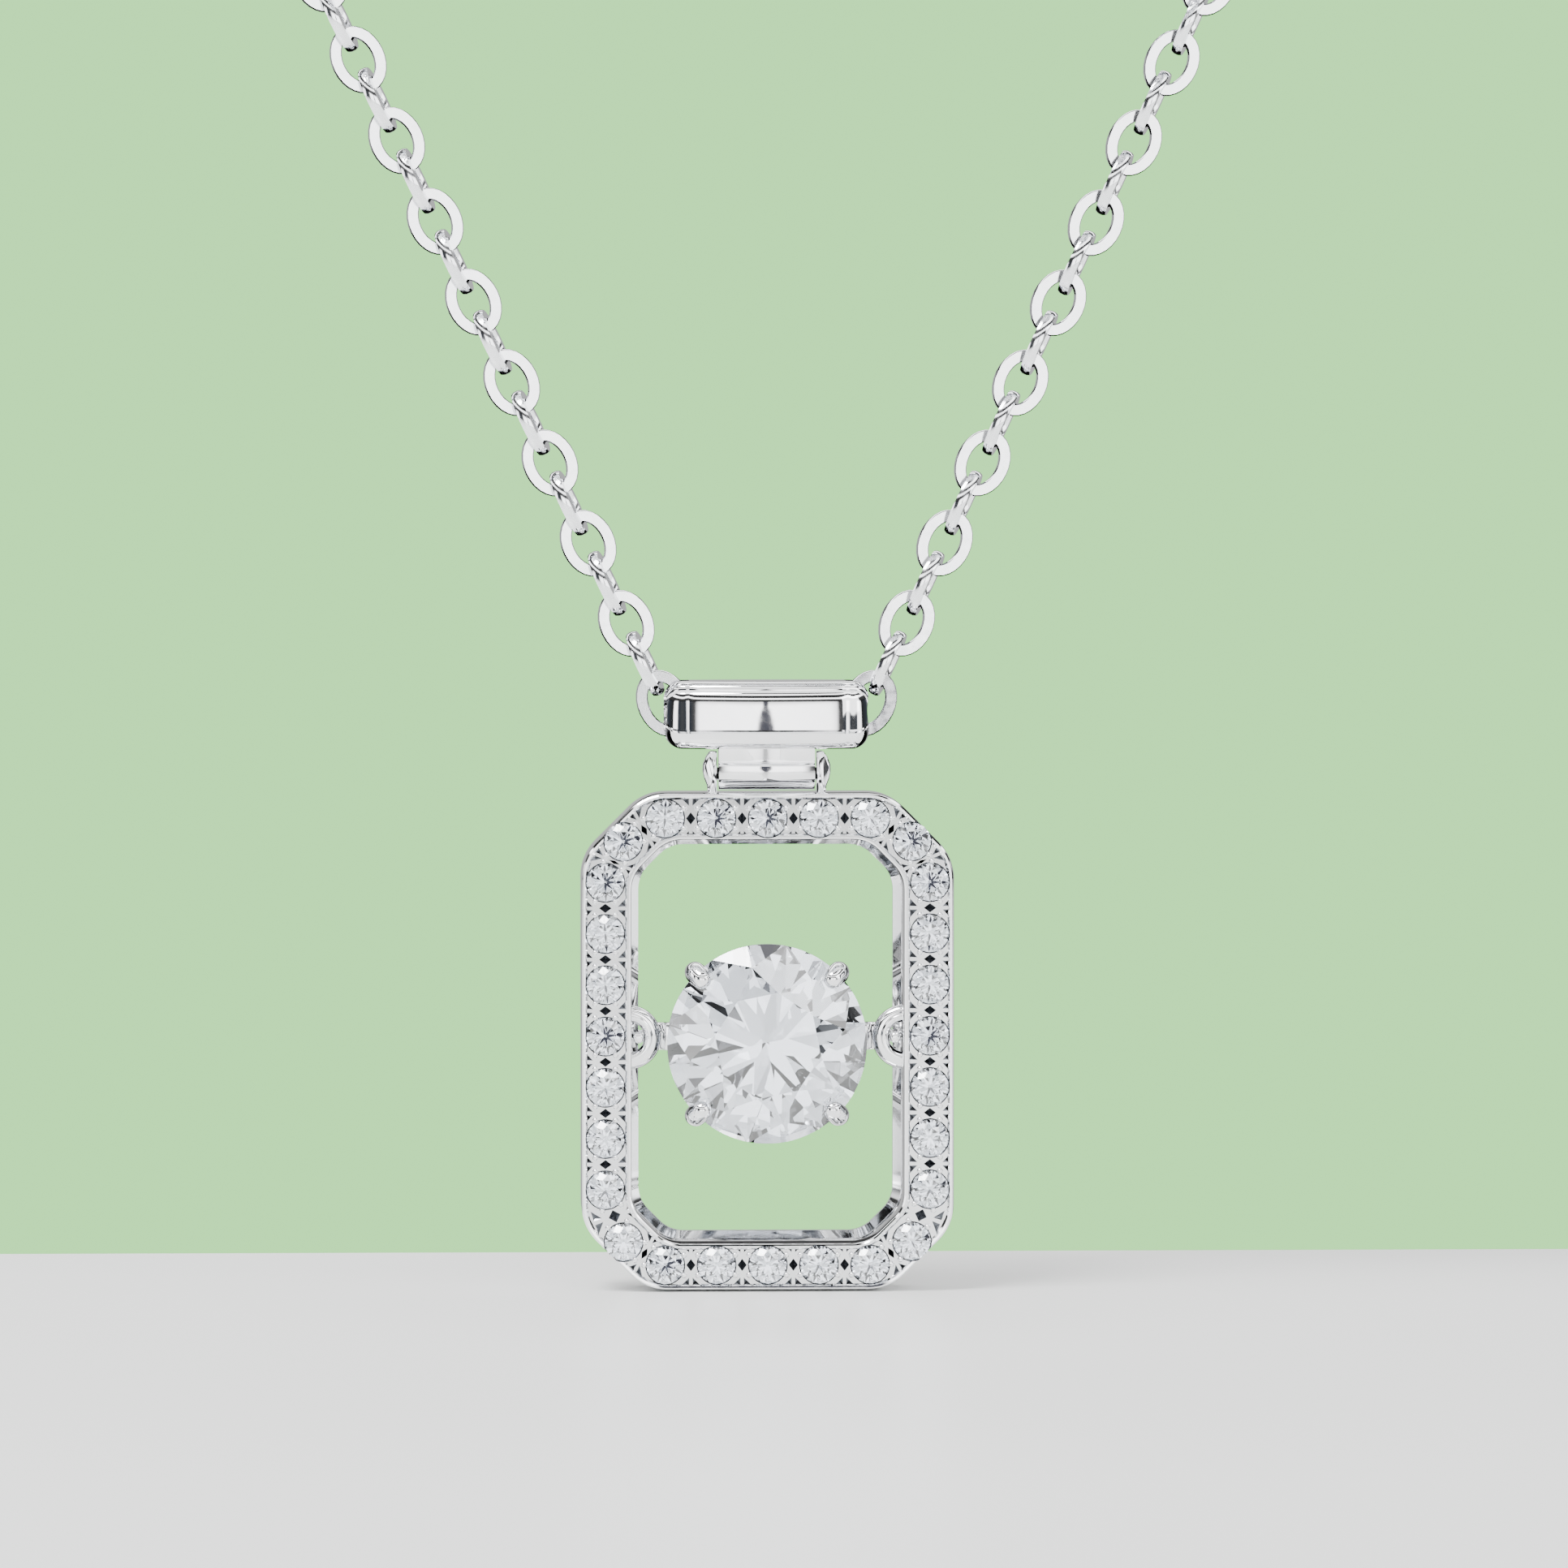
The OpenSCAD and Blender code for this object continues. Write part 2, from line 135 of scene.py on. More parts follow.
def make_camera():
    """A long lens a little above the pendant and a little to its left, as seen from the front. It
    takes in the hanging strands and the pendant."""
    view_w = 39.1
    distance = 220
    target = Vector((0.41, -0.8, FRAME_LOW.z + 12.63))
    azimuth = math.radians(-2.0)
    elevation = math.radians(2.2)
    back = Vector((
        math.sin(azimuth) * math.cos(elevation),
        -math.cos(azimuth) * math.cos(elevation),
        math.sin(elevation),
    ))
    data = bpy.data.cameras.new("camera")
    data.sensor_width = 36
    data.lens = data.sensor_width * distance / view_w
    data.clip_start = 0.01
    data.clip_end = 10
    camera = bpy.data.objects.new("camera", data)
    camera.location = (target + back * distance) * MM
    camera.rotation_mode = "QUATERNION"
    camera.rotation_quaternion = (-back).to_track_quat("-Z", "Y")
    bpy.context.scene.collection.objects.link(camera)
    bpy.context.scene.camera = camera


# ---------------- node trees

class Nodes:
    """Short calls for making and linking the nodes of one node tree."""

    def __init__(self, tree):
        self.tree = tree
        tree.nodes.clear()

    def add(self, kind, inputs=None, **settings):
        node = self.tree.nodes.new(kind)
        for name, value in settings.items():
            setattr(node, name, value)
        for name, value in (inputs or {}).items():
            if isinstance(value, bpy.types.NodeSocket):
                self.tree.links.new(value, node.inputs[name])
            else:
                node.inputs[name].default_value = value
        return node

    def math(self, operation, a, b=0.0):
        return self.add("ShaderNodeMath", {0: a, 1: b}, operation=operation).outputs[0]

    def ramp(self, value, stops):
        node = self.add("ShaderNodeValToRGB", {"Fac": value})
        node.color_ramp.interpolation = "LINEAR"
        elements = node.color_ramp.elements
        while len(elements) < len(stops):
            elements.new(0.5)
        for element, (place, colour) in zip(elements, stops):
            element.position = place
            element.color = (*colour, 1)
        return node.outputs["Color"]

    def mix(self, factor, a, b, blend="MIX"):
        node = self.add("ShaderNodeMix", data_type="RGBA", blend_type=blend)
        for index, value in ((0, factor), (6, a), (7, b)):
            if isinstance(value, bpy.types.NodeSocket):
                self.tree.links.new(value, node.inputs[index])
            else:
                node.inputs[index].default_value = value
        return node.outputs[2]


def grey(value):
    return (value, value, value)


# ---------------- light and stage

def side_panels(n, turn):
    """Brightness round the tent, from the camera's side (turn 0) to the back (turn 1): a broad
    bright panel, a dark card, a bright panel, a dark card and a dim back."""
    return n.ramp(turn, [
        (0.0, grey(1.0)), (0.14, grey(0.9)),
        (0.17, grey(0.02)), (0.30, (0.006, 0.008, 0.011)),
        (0.33, grey(0.75)), (0.40, grey(0.75)),
        (0.43, grey(0.005)), (0.60, (0.01, 0.012, 0.015)),
        (0.80, grey(0.10)), (1.0, grey(0.14)),
    ])


def level_panels(n, z):
    """Brightness over the tent's height: dark below, a bright band at the object's level, two
    narrower bright bands between dark cards overhead and a softer light at the very top."""
    height = n.math("MULTIPLY", n.math("ADD", z, 1.0), 0.5)
    return n.ramp(height, [
        (0.0, grey(0.005)), (0.38, grey(0.01)),
        (0.44, grey(1.0)), (0.62, grey(1.0)),
        (0.65, grey(0.01)), (0.72, grey(0.012)),
        (0.74, grey(0.9)), (0.77, grey(1.0)),
        (0.79, grey(0.005)), (0.86, grey(0.005)),
        (0.88, grey(1.0)), (0.92, grey(1.0)),
        (0.94, grey(0.006)), (0.97, grey(0.01)),
        (1.0, grey(0.5)),
    ])


def outside_gap(n, turn, z):
    """0 in the dark gap between the two front panels and 1 outside it, with a soft edge. The gap
    is a narrow wedge: it closes fast below the object's level and slowly above it."""
    widest = 0.021
    narrowest = 0.004
    soft_edge = 0.004
    above = n.math("SUBTRACT", widest, n.math("MULTIPLY", z, 0.075))
    below = n.math("ADD", widest, n.math("MULTIPLY", z, 0.5))
    above = n.math("MAXIMUM", above, narrowest)
    below = n.math("MAXIMUM", below, narrowest)
    half_width = n.math("MINIMUM", above, below)
    past_gap = n.math("DIVIDE", n.math("SUBTRACT", turn, half_width), soft_edge)
    return n.math("MINIMUM", n.math("MAXIMUM", past_gap, 0.0), 1.0)


def make_world():
    """A photographer's light tent of plain grey panels, which the metal and the stones reflect.
    From roof_from up the panels run all the way round. Seen directly the tent is a plain pale
    backdrop."""
    gap_bearing = math.radians(1.0)
    gap_colour = (0.02, 0.02, 0.025, 1)
    roof_from = 0.30
    backdrop = (0.68, 1.65, 0.55, 1)
    world = bpy.data.worlds.new("light_tent")
    bpy.context.scene.world = world
    world.use_nodes = True
    n = Nodes(world.node_tree)
    direction = n.add("ShaderNodeTexCoord").outputs["Generated"]
    x, y, z = n.add("ShaderNodeSeparateXYZ", {0: direction}).outputs
    bearing = n.math("ARCTAN2", x, n.math("MULTIPLY", y, -1.0))
    from_gap = n.math("ABSOLUTE", n.math("SUBTRACT", bearing, gap_bearing))
    turn = n.math("DIVIDE", from_gap, math.pi)
    over = level_panels(n, z)
    tent = n.mix(1.0, side_panels(n, turn), over, "MULTIPLY")
    tent = n.mix(outside_gap(n, turn, z), gap_colour, tent)
    tent = n.mix(n.math("GREATER_THAN", z, roof_from), tent, over)
    reflected = n.add("ShaderNodeBackground", {"Color": tent, "Strength": 5.0})
    pale = n.add("ShaderNodeBackground", {"Color": backdrop, "Strength": 1.0})
    seen = n.add("ShaderNodeLightPath").outputs["Is Camera Ray"]
    both = n.add("ShaderNodeMixShader", {0: seen, 1: reflected.outputs[0], 2: pale.outputs[0]})
    n.add("ShaderNodeOutputWorld", {"Surface": both.outputs[0]})


def make_stage():
    """A plain pale floor just under the pendant, ending a little way behind it."""
    reach = 400
    back_edge = 10
    below_frame = 0.05
    bm = bmesh.new()
    bm.faces.new([
        bm.verts.new((x, y, 0))
        for x, y in ((-reach, -reach), (reach, -reach), (reach, back_edge), (-reach, back_edge))
    ])
    floor = plain_object("floor", bm, floor_material())
    floor.location.z = (FRAME_LOW.z - below_frame) * MM


def make_lights():
    """One soft key light from the upper left and a weaker one from the right."""
    for name, place, size, power in (
        ("key", Vector((-80, -70, 180)), 90, 0.9),
        ("fill", Vector((170, -120, 60)), 120, 0.15),
    ):
        data = bpy.data.lights.new(name, "AREA")
        data.size = size * MM
        data.energy = power
        light = bpy.data.objects.new(name, data)
        target = Vector((0, 0, FRAME_Z))
        light.location = place * MM
        light.rotation_euler = (target - place).to_track_quat("-Z", "Y").to_euler()
        bpy.context.scene.collection.objects.link(light)


# ---------------- materials

def new_material(name):
    material = bpy.data.materials.new(name)
    material.use_nodes = True
    return material, Nodes(material.node_tree)


def finish_surface(n, shader):
    n.add("ShaderNodeOutputMaterial", {"Surface": shader.outputs[0]})


def floor_material():
    material, n = new_material("pale_floor")
    shader = n.add("ShaderNodeBsdfPrincipled", {
        "Base Color": (0.80, 0.81, 0.80, 1), "Roughness": 0.32, "Specular IOR Level": 0.35,
    })
    finish_surface(n, shader)
    return material


def silver_material(name, tint, rough, rough_spread, dent, dent_size):
    """Rhodium-plated silver: faint polishing haze and soft unevenness of the cast surface.
    dent_size is in millimetres."""
    haze_scale = 5200
    darker = 0.94
    material, n = new_material(name)
    where = n.add("ShaderNodeTexCoord").outputs["Object"]
    haze = n.add("ShaderNodeTexNoise", {"Vector": where, "Scale": haze_scale, "Detail": 3})
    rise = n.add("ShaderNodeTexNoise", {
        "Vector": where, "Scale": 1 / (dent_size * MM), "Detail": 2,
    })
    roughness = n.add("ShaderNodeMapRange", {
        "Value": haze.outputs["Fac"], "From Min": 0.3, "From Max": 0.7,
        "To Min": rough, "To Max": rough + rough_spread,
    })
    bump = n.add("ShaderNodeBump", {
        "Height": rise.outputs["Fac"], "Strength": dent, "Distance": 0.01 * MM,
    })
    colour = n.mix(haze.outputs["Fac"], (*tint, 1), (*[darker * c for c in tint], 1))
    shader = n.add("ShaderNodeBsdfPrincipled", {
        "Base Color": colour, "Metallic": 1.0, "Roughness": roughness.outputs[0],
        "Normal": bump.outputs[0],
    })
    finish_surface(n, shader)
    return material


def stone_material(name, tint):
    """A clear, strongly refracting faceted stone."""
    material, n = new_material(name)
    shader = n.add("ShaderNodeBsdfPrincipled", {
        "Base Color": (*tint, 1), "Roughness": 0.0, "IOR": 2.3, "Transmission Weight": 1.0,
    })
    finish_surface(n, shader)
    return material


# ---------------- mesh helpers

def plain_object(name, bm, material):
    """Makes an object of bm, which is in millimetres."""
    bmesh.ops.recalc_face_normals(bm, faces=bm.faces)
    mesh = bpy.data.meshes.new(name)
    bm.to_mesh(mesh)
    bm.free()
    mesh.transform(Matrix.Scale(MM, 4))
    mesh.materials.append(material)
    obj = bpy.data.objects.new(name, mesh)
    bpy.context.scene.collection.objects.link(obj)
    return obj


def piece(name, bm, material, body, replaced):
    """A piece of the necklace that rides on a body and stands for CAD nodes."""
    obj = plain_object(name, bm, material)
    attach(obj, body)
    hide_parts(*replaced)
    return obj


def shade(bm, crease=30):
    """Smooth faces, with sharp edges where two faces meet at more than crease degrees."""
    limit = math.radians(crease)
    for face in bm.faces:
        face.smooth = True
    for edge in bm.edges:
        if len(edge.link_faces) == 2:
            edge.smooth = edge.calc_face_angle(0) < limit


def loft(bm, rings, closed=False):
    """Joins rings of as many points each with quads. An open row gets end caps."""
    rows = [[bm.verts.new(p) for p in ring] for ring in rings]
    count = len(rings[0])
    for i in range(len(rows) if closed else len(rows) - 1):
        a = rows[i]
        b = rows[(i + 1) % len(rows)]
        for k in range(count):
            m = (k + 1) % count
            bm.faces.new((a[k], a[m], b[m], b[k]))
    if not closed:
        bm.faces.new(rows[0])
        bm.faces.new(rows[-1])


def circle_points(count):
    """Evenly spaced (x, y) points on a circle of radius 1."""
    return [
        (math.cos(2 * math.pi * k / count), math.sin(2 * math.pi * k / count))
        for k in range(count)
    ]


def sweep(bm, path, section, side, closed=False, sizes=None):
    """Sweeps section, a list of (outward, sideways) points, along path. side is the fixed sideways
    direction, square to a flat path. sizes scales the section at each point of the path."""
    rings = []
    last = len(path) - 1
    for i, point in enumerate(path):
        ahead = path[(i + 1) % len(path)] if closed else path[min(i + 1, last)]
        behind = path[i - 1] if closed else path[max(i - 1, 0)]
        along = (ahead - behind).normalized()
        outward = along.cross(side).normalized()
        size = sizes[i] if sizes else 1.0
        rings.append([point + (outward * u + side * v) * size for u, v in section])
    loft(bm, rings, closed)


def lathe(bm, profile, centre, axis, segments=48):
    """Turns profile, a closed list of (radius, along) points, about axis through centre."""
    first = axis.orthogonal().normalized()
    second = axis.cross(first)
    rings = []
    for c, s in circle_points(segments):
        rings.append([centre + (first * c + second * s) * r + axis * h for r, h in profile])
    loft(bm, rings, closed=True)


def drum(bm, centre, axis, profile, segments=48):
    """A solid of revolution about axis: profile is a row of (along, radius) points."""
    first = axis.orthogonal().normalized()
    second = axis.cross(first)
    loft(bm, [
        [centre + axis * h + (first * c + second * s) * r for c, s in circle_points(segments)]
        for h, r in profile
    ])


def prism(bm, outline, low, high):
    """The closed outline (x, y) made solid from z = low to z = high."""
    loft(bm, [[Vector((x, y, z)) for x, y in outline] for z in (low, high)])


def torus(bm, centre, axis, ring_r, wire_r, segments=64, sides=20):
    """A round wire bent to a ring about axis."""
    profile = [(ring_r + wire_r * c, wire_r * s) for c, s in circle_points(sides)]
    lathe(bm, profile, centre, axis, segments)


def cut(bm, cutter, cut_slot=0):
    """bm less cutter, both closed and in millimetres. Cut faces take material cut_slot."""
    for face in cutter.faces:
        face.material_index = cut_slot
    objects = []
    for name, source in (("body", bm), ("cutter", cutter)):
        bmesh.ops.recalc_face_normals(source, faces=source.faces)
        mesh = bpy.data.meshes.new(name)
        source.to_mesh(mesh)
        source.free()
        for _ in range(cut_slot + 1):
            mesh.materials.append(None)
        obj = bpy.data.objects.new(name, mesh)
        bpy.context.scene.collection.objects.link(obj)
        objects.append(obj)
    body, tool = objects
    modifier = body.modifiers.new("cut", "BOOLEAN")
    modifier.operation = "DIFFERENCE"
    modifier.solver = "EXACT"
    modifier.object = tool
    graph = bpy.context.evaluated_depsgraph_get()
    mesh = bpy.data.meshes.new_from_object(body.evaluated_get(graph))
    result = bmesh.new()
    result.from_mesh(mesh)
    for obj in objects:
        data = obj.data
        bpy.data.objects.remove(obj)
        bpy.data.meshes.remove(data)
    bpy.data.meshes.remove(mesh)
    return result


def copy_into(bm, mesh, matrix):
    """Adds a copy of mesh to bm, moved by matrix."""
    start = len(bm.verts)
    bm.from_mesh(mesh)
    bm.verts.ensure_lookup_table()
    bmesh.ops.transform(bm, matrix=matrix, verts=bm.verts[start:])


def mix(a, b, share):
    return a + (b - a) * share


def ease(low, high, value):
    """0 below low, 1 above high and a smooth step between."""
    t = min(max((value - low) / (high - low), 0.0), 1.0)
    return t * t * (3 - 2 * t)


# ---------------- chain

def link_section():
    """The flattened wire of a link: broad flat faces front and back, with narrow bevels."""
    play = 0.01
    half_w = WIRE_D / 2 - play
    half_t = WIRE_D * 0.41
    flat = half_w * 0.80
    edge = half_t * 0.45
    return [
        (half_w, edge), (flat, half_t), (-flat, half_t), (-half_w, edge),
        (-half_w, -edge), (-flat, -half_t), (flat, -half_t), (half_w, -edge),
    ]


def link_shape():
    """One oval link about its own centre: long in Z, wide in X, flat in Y."""
    path = [
        Vector((c * (LINK_W - WIRE_D) / 2, 0, s * (LINK_L - WIRE_D) / 2))
        for c, s in circle_points(28)
    ]
    bm = bmesh.new()
    sweep(bm, path, link_section(), BACKWARD, closed=True)
    bmesh.ops.recalc_face_normals(bm, faces=bm.faces)
    shade(bm, 25)
    return bm


def add_links(bm, places):
    """Adds one link for each (centre, along, wide) place."""
    mesh = bpy.data.meshes.new("link")
    template = link_shape()
    template.to_mesh(mesh)
    template.free()
    for centre, along, wide in places:
        flat = along.cross(wide).normalized()
        copy_into(bm, mesh, Matrix((
            (wide.x, flat.x, along.x, centre.x), (wide.y, flat.y, along.y, centre.y),
            (wide.z, flat.z, along.z, centre.z), (0, 0, 0, 1),
        )))
    bpy.data.meshes.remove(mesh)


def half_route():
    """The right half of the chain from the cap to the clasp, as (point, outward) pairs. Outward is
    the direction away from the winding's middle."""
    route = []
    lean_along = Vector((math.sin(STRAND_LEAN), 0, math.cos(STRAND_LEAN)))
    lean_out = Vector((math.cos(STRAND_LEAN), 0, -math.sin(STRAND_LEAN)))
    touch = Vector((PEG_X, 0, 0)) + lean_out * FOLD_R
    strand_l = (touch - MOUTH_LINK).dot(lean_along)
    offset = TURN_PITCH / 2
    steps = 24
    for i in range(steps):
        t = i / steps
        route.append((MOUTH_LINK + lean_along * strand_l * t + BACKWARD * offset * t, lean_out))

    def fold(side, start, end, y):
        count = 16
        for i in range(count):
            angle = mix(start, end, i / count)
            out = Vector((math.cos(angle), 0, math.sin(angle)))
            route.append((Vector((side * PEG_X, y, 0)) + out * FOLD_R, out))

    def run(start_x, height, start_y, end_y):
        count = 14
        out = UP * math.copysign(1, height)
        for i in range(count):
            t = i / count
            y = mix(start_y, end_y, ease(0, 1, t))
            route.append((Vector((mix(start_x, -start_x, t), y, height)), out))

    fold(1, -STRAND_LEAN, math.pi / 2, offset)
    for turn in range(TURNS_PER_HALF):
        y = offset + turn * TURN_PITCH
        run(PEG_X, FOLD_R, y, y)
        fold(-1, math.pi / 2, math.pi * 3 / 2, y)
        run(-PEG_X, -FOLD_R, y, y + TURN_PITCH)
        fold(1, -math.pi / 2, math.pi / 2, y + TURN_PITCH)
    return route + tail_route(Vector((PEG_X, offset + TURNS_PER_HALF * TURN_PITCH, FOLD_R)))


def tail_route(start):
    """The last stretch, from the end of the winding in a curve to the clasp on top of it."""
    heading = Vector((math.cos(CLASP_TURN), math.sin(CLASP_TURN), 0))
    end = heading * TAIL_END + UP * TAIL_Z
    reach = (end - start).length
    steps = 12
    risen_at = 0.62
    route = []
    for i in range(steps + 1):
        t = i / steps
        along_start = start - ACROSS * reach * t
        along_end = end + heading * reach * (1 - t)
        point = along_start.lerp(along_end, ease(0, 1, t))
        point.z = mix(FOLD_R, TAIL_Z, ease(0, risen_at, t))
        route.append((point, UP))
    return route


def measured(route):
    """Distances along the route to each of its points."""
    lengths = [0.0]
    for (a, _), (b, _) in zip(route, route[1:]):
        lengths.append(lengths[-1] + (b - a).length)
    return lengths


def at(route, lengths, distance):
    """Point and outward direction at a distance along the route."""
    distance = min(max(distance, 0.0), lengths[-1])
    i = next(k for k in range(1, len(lengths)) if lengths[k] >= distance)
    t = (distance - lengths[i - 1]) / (lengths[i] - lengths[i - 1])
    (a, out_a), (b, out_b) = route[i - 1], route[i]
    return a.lerp(b, t), out_a.lerp(out_b, t).normalized()


def link_places(route):
    """Where the links of one half go: each turned a quarter from the last, and unevenly on the
    winding, as the links of a wound chain lie. The hanging links lean one way and the other by
    turns, and the first stands straight in the cap's mouth."""
    lengths = measured(route)
    total = lengths[-1]
    count = 2 * round(total / LINK_PITCH / 2)
    pitch = total / (count - 1)
    hanging = 22
    settling = 8
    edge_on_lean = -10
    face_on_lean = 4
    wound_lean = 14
    reach = 0.3 * LINK_PITCH
    places = []
    for i in range(count):
        middle_point, outward = at(route, lengths, i * pitch)
        behind = at(route, lengths, i * pitch - reach)[0]
        ahead = at(route, lengths, i * pitch + reach)[0]
        along = (ahead - behind).normalized()
        sideways = along.cross(outward).normalized()
        outward = sideways.cross(along)
        loose = ease(hanging, hanging + settling, i) * ease(count - 1, count - 1 - settling, i)
        hanging_lean = edge_on_lean if i % 2 else face_on_lean * min(i, 1)
        lean = hanging_lean * (1 - loose) + wound_lean * loose * math.sin(2.4 * i)
        twist = math.radians(90 * (i % 2) + lean)
        wide = outward * math.cos(twist) + sideways * math.sin(twist)
        places.append((middle_point, along, wide))
    return places


def make_chain_half(name, side, material, replaced):
    """side is 1 for the right half and -1 for the left one, which is turned half round."""
    route = half_route()
    if side < 0:
        route = [(Vector((-p.x, -p.y, p.z)), Vector((-o.x, -o.y, o.z))) for p, o in route]
    bm = bmesh.new()
    add_links(bm, link_places(route))
    obj = piece(name, bm, material, "chain", replaced)
    return obj, route


def make_bail_links(material):
    """The four links in the cap, each turned a little over a quarter from the last."""
    count = 4
    pitch = LINK_PITCH - 0.008
    places = []
    for i in range(1, count + 1):
        turn = math.pi * 3 * i / (count + 1)
        wide = UP * math.cos(turn) + BACKWARD * math.sin(turn)
        places.append((Vector((pitch * (i - (count + 1) / 2), 0, CAP_Z)), ACROSS, wide))
    bm = bmesh.new()
    add_links(bm, places)
    piece("links_in_cap", bm, material, "chain", ["bail_links"])


# ---------------- clasp

def place_on_clasp(bm):
    """Moves bm from the clasp's own flat drawing to the clasp's place on the winding."""
    c = math.cos(CLASP_TURN)
    s = math.sin(CLASP_TURN)
    for vert in bm.verts:
        x = vert.co.x + CLASP_SHIFT
        y = vert.co.y
        vert.co = Vector((x * c - y * s, x * s + y * c, CLASP_Z + vert.co.z))


def make_ring(name, x, material):
    """A soldered round ring that stands upright in the chain's line."""
    bm = bmesh.new()
    torus(bm, Vector((x, 0, 0)), BACKWARD, RING_R, RING_WIRE_R)
    place_on_clasp(bm)
    shade(bm)
    return piece(name + "_wire", bm, material, "chain", [name])


def pillow(bm, outline, half_t, bevel):
    """A flat plate of the closed outline (x, y) with softly rounded edges, in the XY plane."""
    count = len(outline)
    inward = []
    for k in range(count):
        ahead = outline[(k + 1) % count]
        behind = outline[k - 1]
        inward.append(Vector((behind[1] - ahead[1], ahead[0] - behind[0], 0)).normalized())
    rings = []
    for angle in (-90, -60, -30, 0, 0, 30, 60, 90):
        turn = math.radians(angle)
        inset = bevel * (1 - math.cos(turn))
        flat = half_t - bevel
        z = flat * math.copysign(1, len(rings) - 3.5) + bevel * math.sin(turn)
        rings.append([
            Vector((p[0], p[1], z)) + inward[k] * inset for k, p in enumerate(outline)
        ])
    loft(bm, rings)


def arc(centre, r, start, end, steps):
    """Points (x, y) of an arc. Angles are in degrees."""
    return [
        (centre[0] + r * math.cos(math.radians(mix(start, end, i / steps))),
         centre[1] + r * math.sin(math.radians(mix(start, end, i / steps))))
        for i in range(steps + 1)
    ]


def clasp_half_width(x):
    """Half the clasp body's width at x: the eye, the handle's waist and the round hook."""
    eye = math.sqrt(max(EYE_R ** 2 - (x - EYE_X) ** 2, 0))
    hook = math.sqrt(max(HOOK_R ** 2 - (x - HOOK_X) ** 2, 0))
    handle = mix(0.66, 1.42, ease(EYE_X, HOOK_X - 1, x)) if EYE_X < x < HOOK_X else 0
    return max(eye, hook, handle)


def make_clasp_body(material):
    """The lobster clasp's body: a round hook, a waisted handle and an eye."""
    steps = 72
    left = EYE_X - EYE_R
    right = HOOK_X + HOOK_R
    places = [mix(left, right, (1 - math.cos(math.pi * i / steps)) / 2) for i in range(steps + 1)]
    lower = [(x, -clasp_half_width(x)) for x in places]
    upper = [(x, clasp_half_width(x)) for x in places[1:-1]]
    bm = bmesh.new()
    pillow(bm, lower + upper[::-1], CLASP_T / 2, 0.16)
    through = CLASP_T
    holes = bmesh.new()
    drum(holes, Vector((HOOK_X, 0, 0)), UP, [(-through, HOOK_HOLE_R), (through, HOOK_HOLE_R)])
    drum(holes, Vector((EYE_X, 0, 0)), UP, [(-through, EYE_HOLE_R), (through, EYE_HOLE_R)])
    bm = cut(bm, holes)
    bm = cut_lever_room(bm, through)
    bm = cut_eye_flats(bm, left, through)
    place_on_clasp(bm)
    shade(bm)
    return piece("lobster_clasp", bm, material, "chain", ["clasp_body"])


def cut_lever_room(bm, through):
    """The slot that the lever swings in, between two cheeks, and the hook's gap."""
    half_slot = 0.38
    edge = 0.1
    slot = bmesh.new()
    prism(slot, [
        (-1.35, -edge), (-1.65, 3), (HOOK_X, 3), (HOOK_X, -edge),
    ], -half_slot, half_slot)
    bm = cut(bm, slot)
    gap = bmesh.new()
    gap_end = math.degrees(math.acos((edge - PIVOT_X) / GAP_R))
    tip = arc((PIVOT_X, PIVOT_Y), GAP_R, -11, gap_end, 24)
    prism(gap, [(edge, edge), *tip], -through, through)
    return cut(bm, gap)


def cut_eye_flats(bm, left, through):
    """Thins the body round its eye, so that the jump ring clears it."""
    half_t = 0.3
    flats_end = -2.4
    for side in (-1, 1):
        flat = bmesh.new()
        low, high = sorted((side * half_t, side * through))
        prism(flat, [(left - 1, -1), (flats_end, -1), (flats_end, 1), (left - 1, 1)], low, high)
        bm = cut(bm, flat)
    return bm


def make_clasp_lever(material):
    """The lever: its arm is part of the hook's ring, ending on an arc about its own pin."""
    play = 0.03
    reach = GAP_R - 0.05

    def end_angle(r):
        span = math.hypot(HOOK_X - PIVOT_X, PIVOT_Y)
        cosine = (reach ** 2 - r ** 2 - span ** 2) / (2 * r * span)
        return math.degrees(math.acos(cosine) - math.atan2(PIVOT_Y, HOOK_X - PIVOT_X))

    outer = arc((HOOK_X, 0), HOOK_R, end_angle(HOOK_R), 144, 20)
    inner = arc((HOOK_X, 0), HOOK_HOLE_R, 134, end_angle(HOOK_HOLE_R), 20)
    boss = arc((PIVOT_X, PIVOT_Y), BOSS_R, 190, 330, 12)
    tab = [(-0.55, 1.42), (-0.95, 1.62), (-1.30, 1.80), (-1.55, 1.86), (-1.72, 1.76), (-1.70, 1.58)]
    bm = bmesh.new()
    pillow(bm, outer + tab + boss + inner, LEVER_T / 2, 0.08)
    bore = bmesh.new()
    drum(bore, Vector((PIVOT_X, PIVOT_Y, 0)), UP, [(-1, PIVOT_R + play), (1, PIVOT_R + play)])
    bm = cut(bm, bore)
    place_on_clasp(bm)
    shade(bm)
    return piece("clasp_thumb_lever", bm, material, "clasp_lever", ["clasp_lever"])


def make_clasp_pin(material):
    """The rivet with slightly domed ends that the lever turns on."""
    bm = bmesh.new()
    end = CLASP_T / 2
    dome = PIVOT_R * 0.4
    drum(bm, Vector((PIVOT_X, PIVOT_Y, 0)), UP, [
        (-end - dome * 0.3, dome), (-end, PIVOT_R), (end, PIVOT_R), (end + dome * 0.3, dome),
    ])
    place_on_clasp(bm)
    shade(bm)
    return piece("clasp_rivet", bm, material, "chain", ["clasp_pivot_pin"])


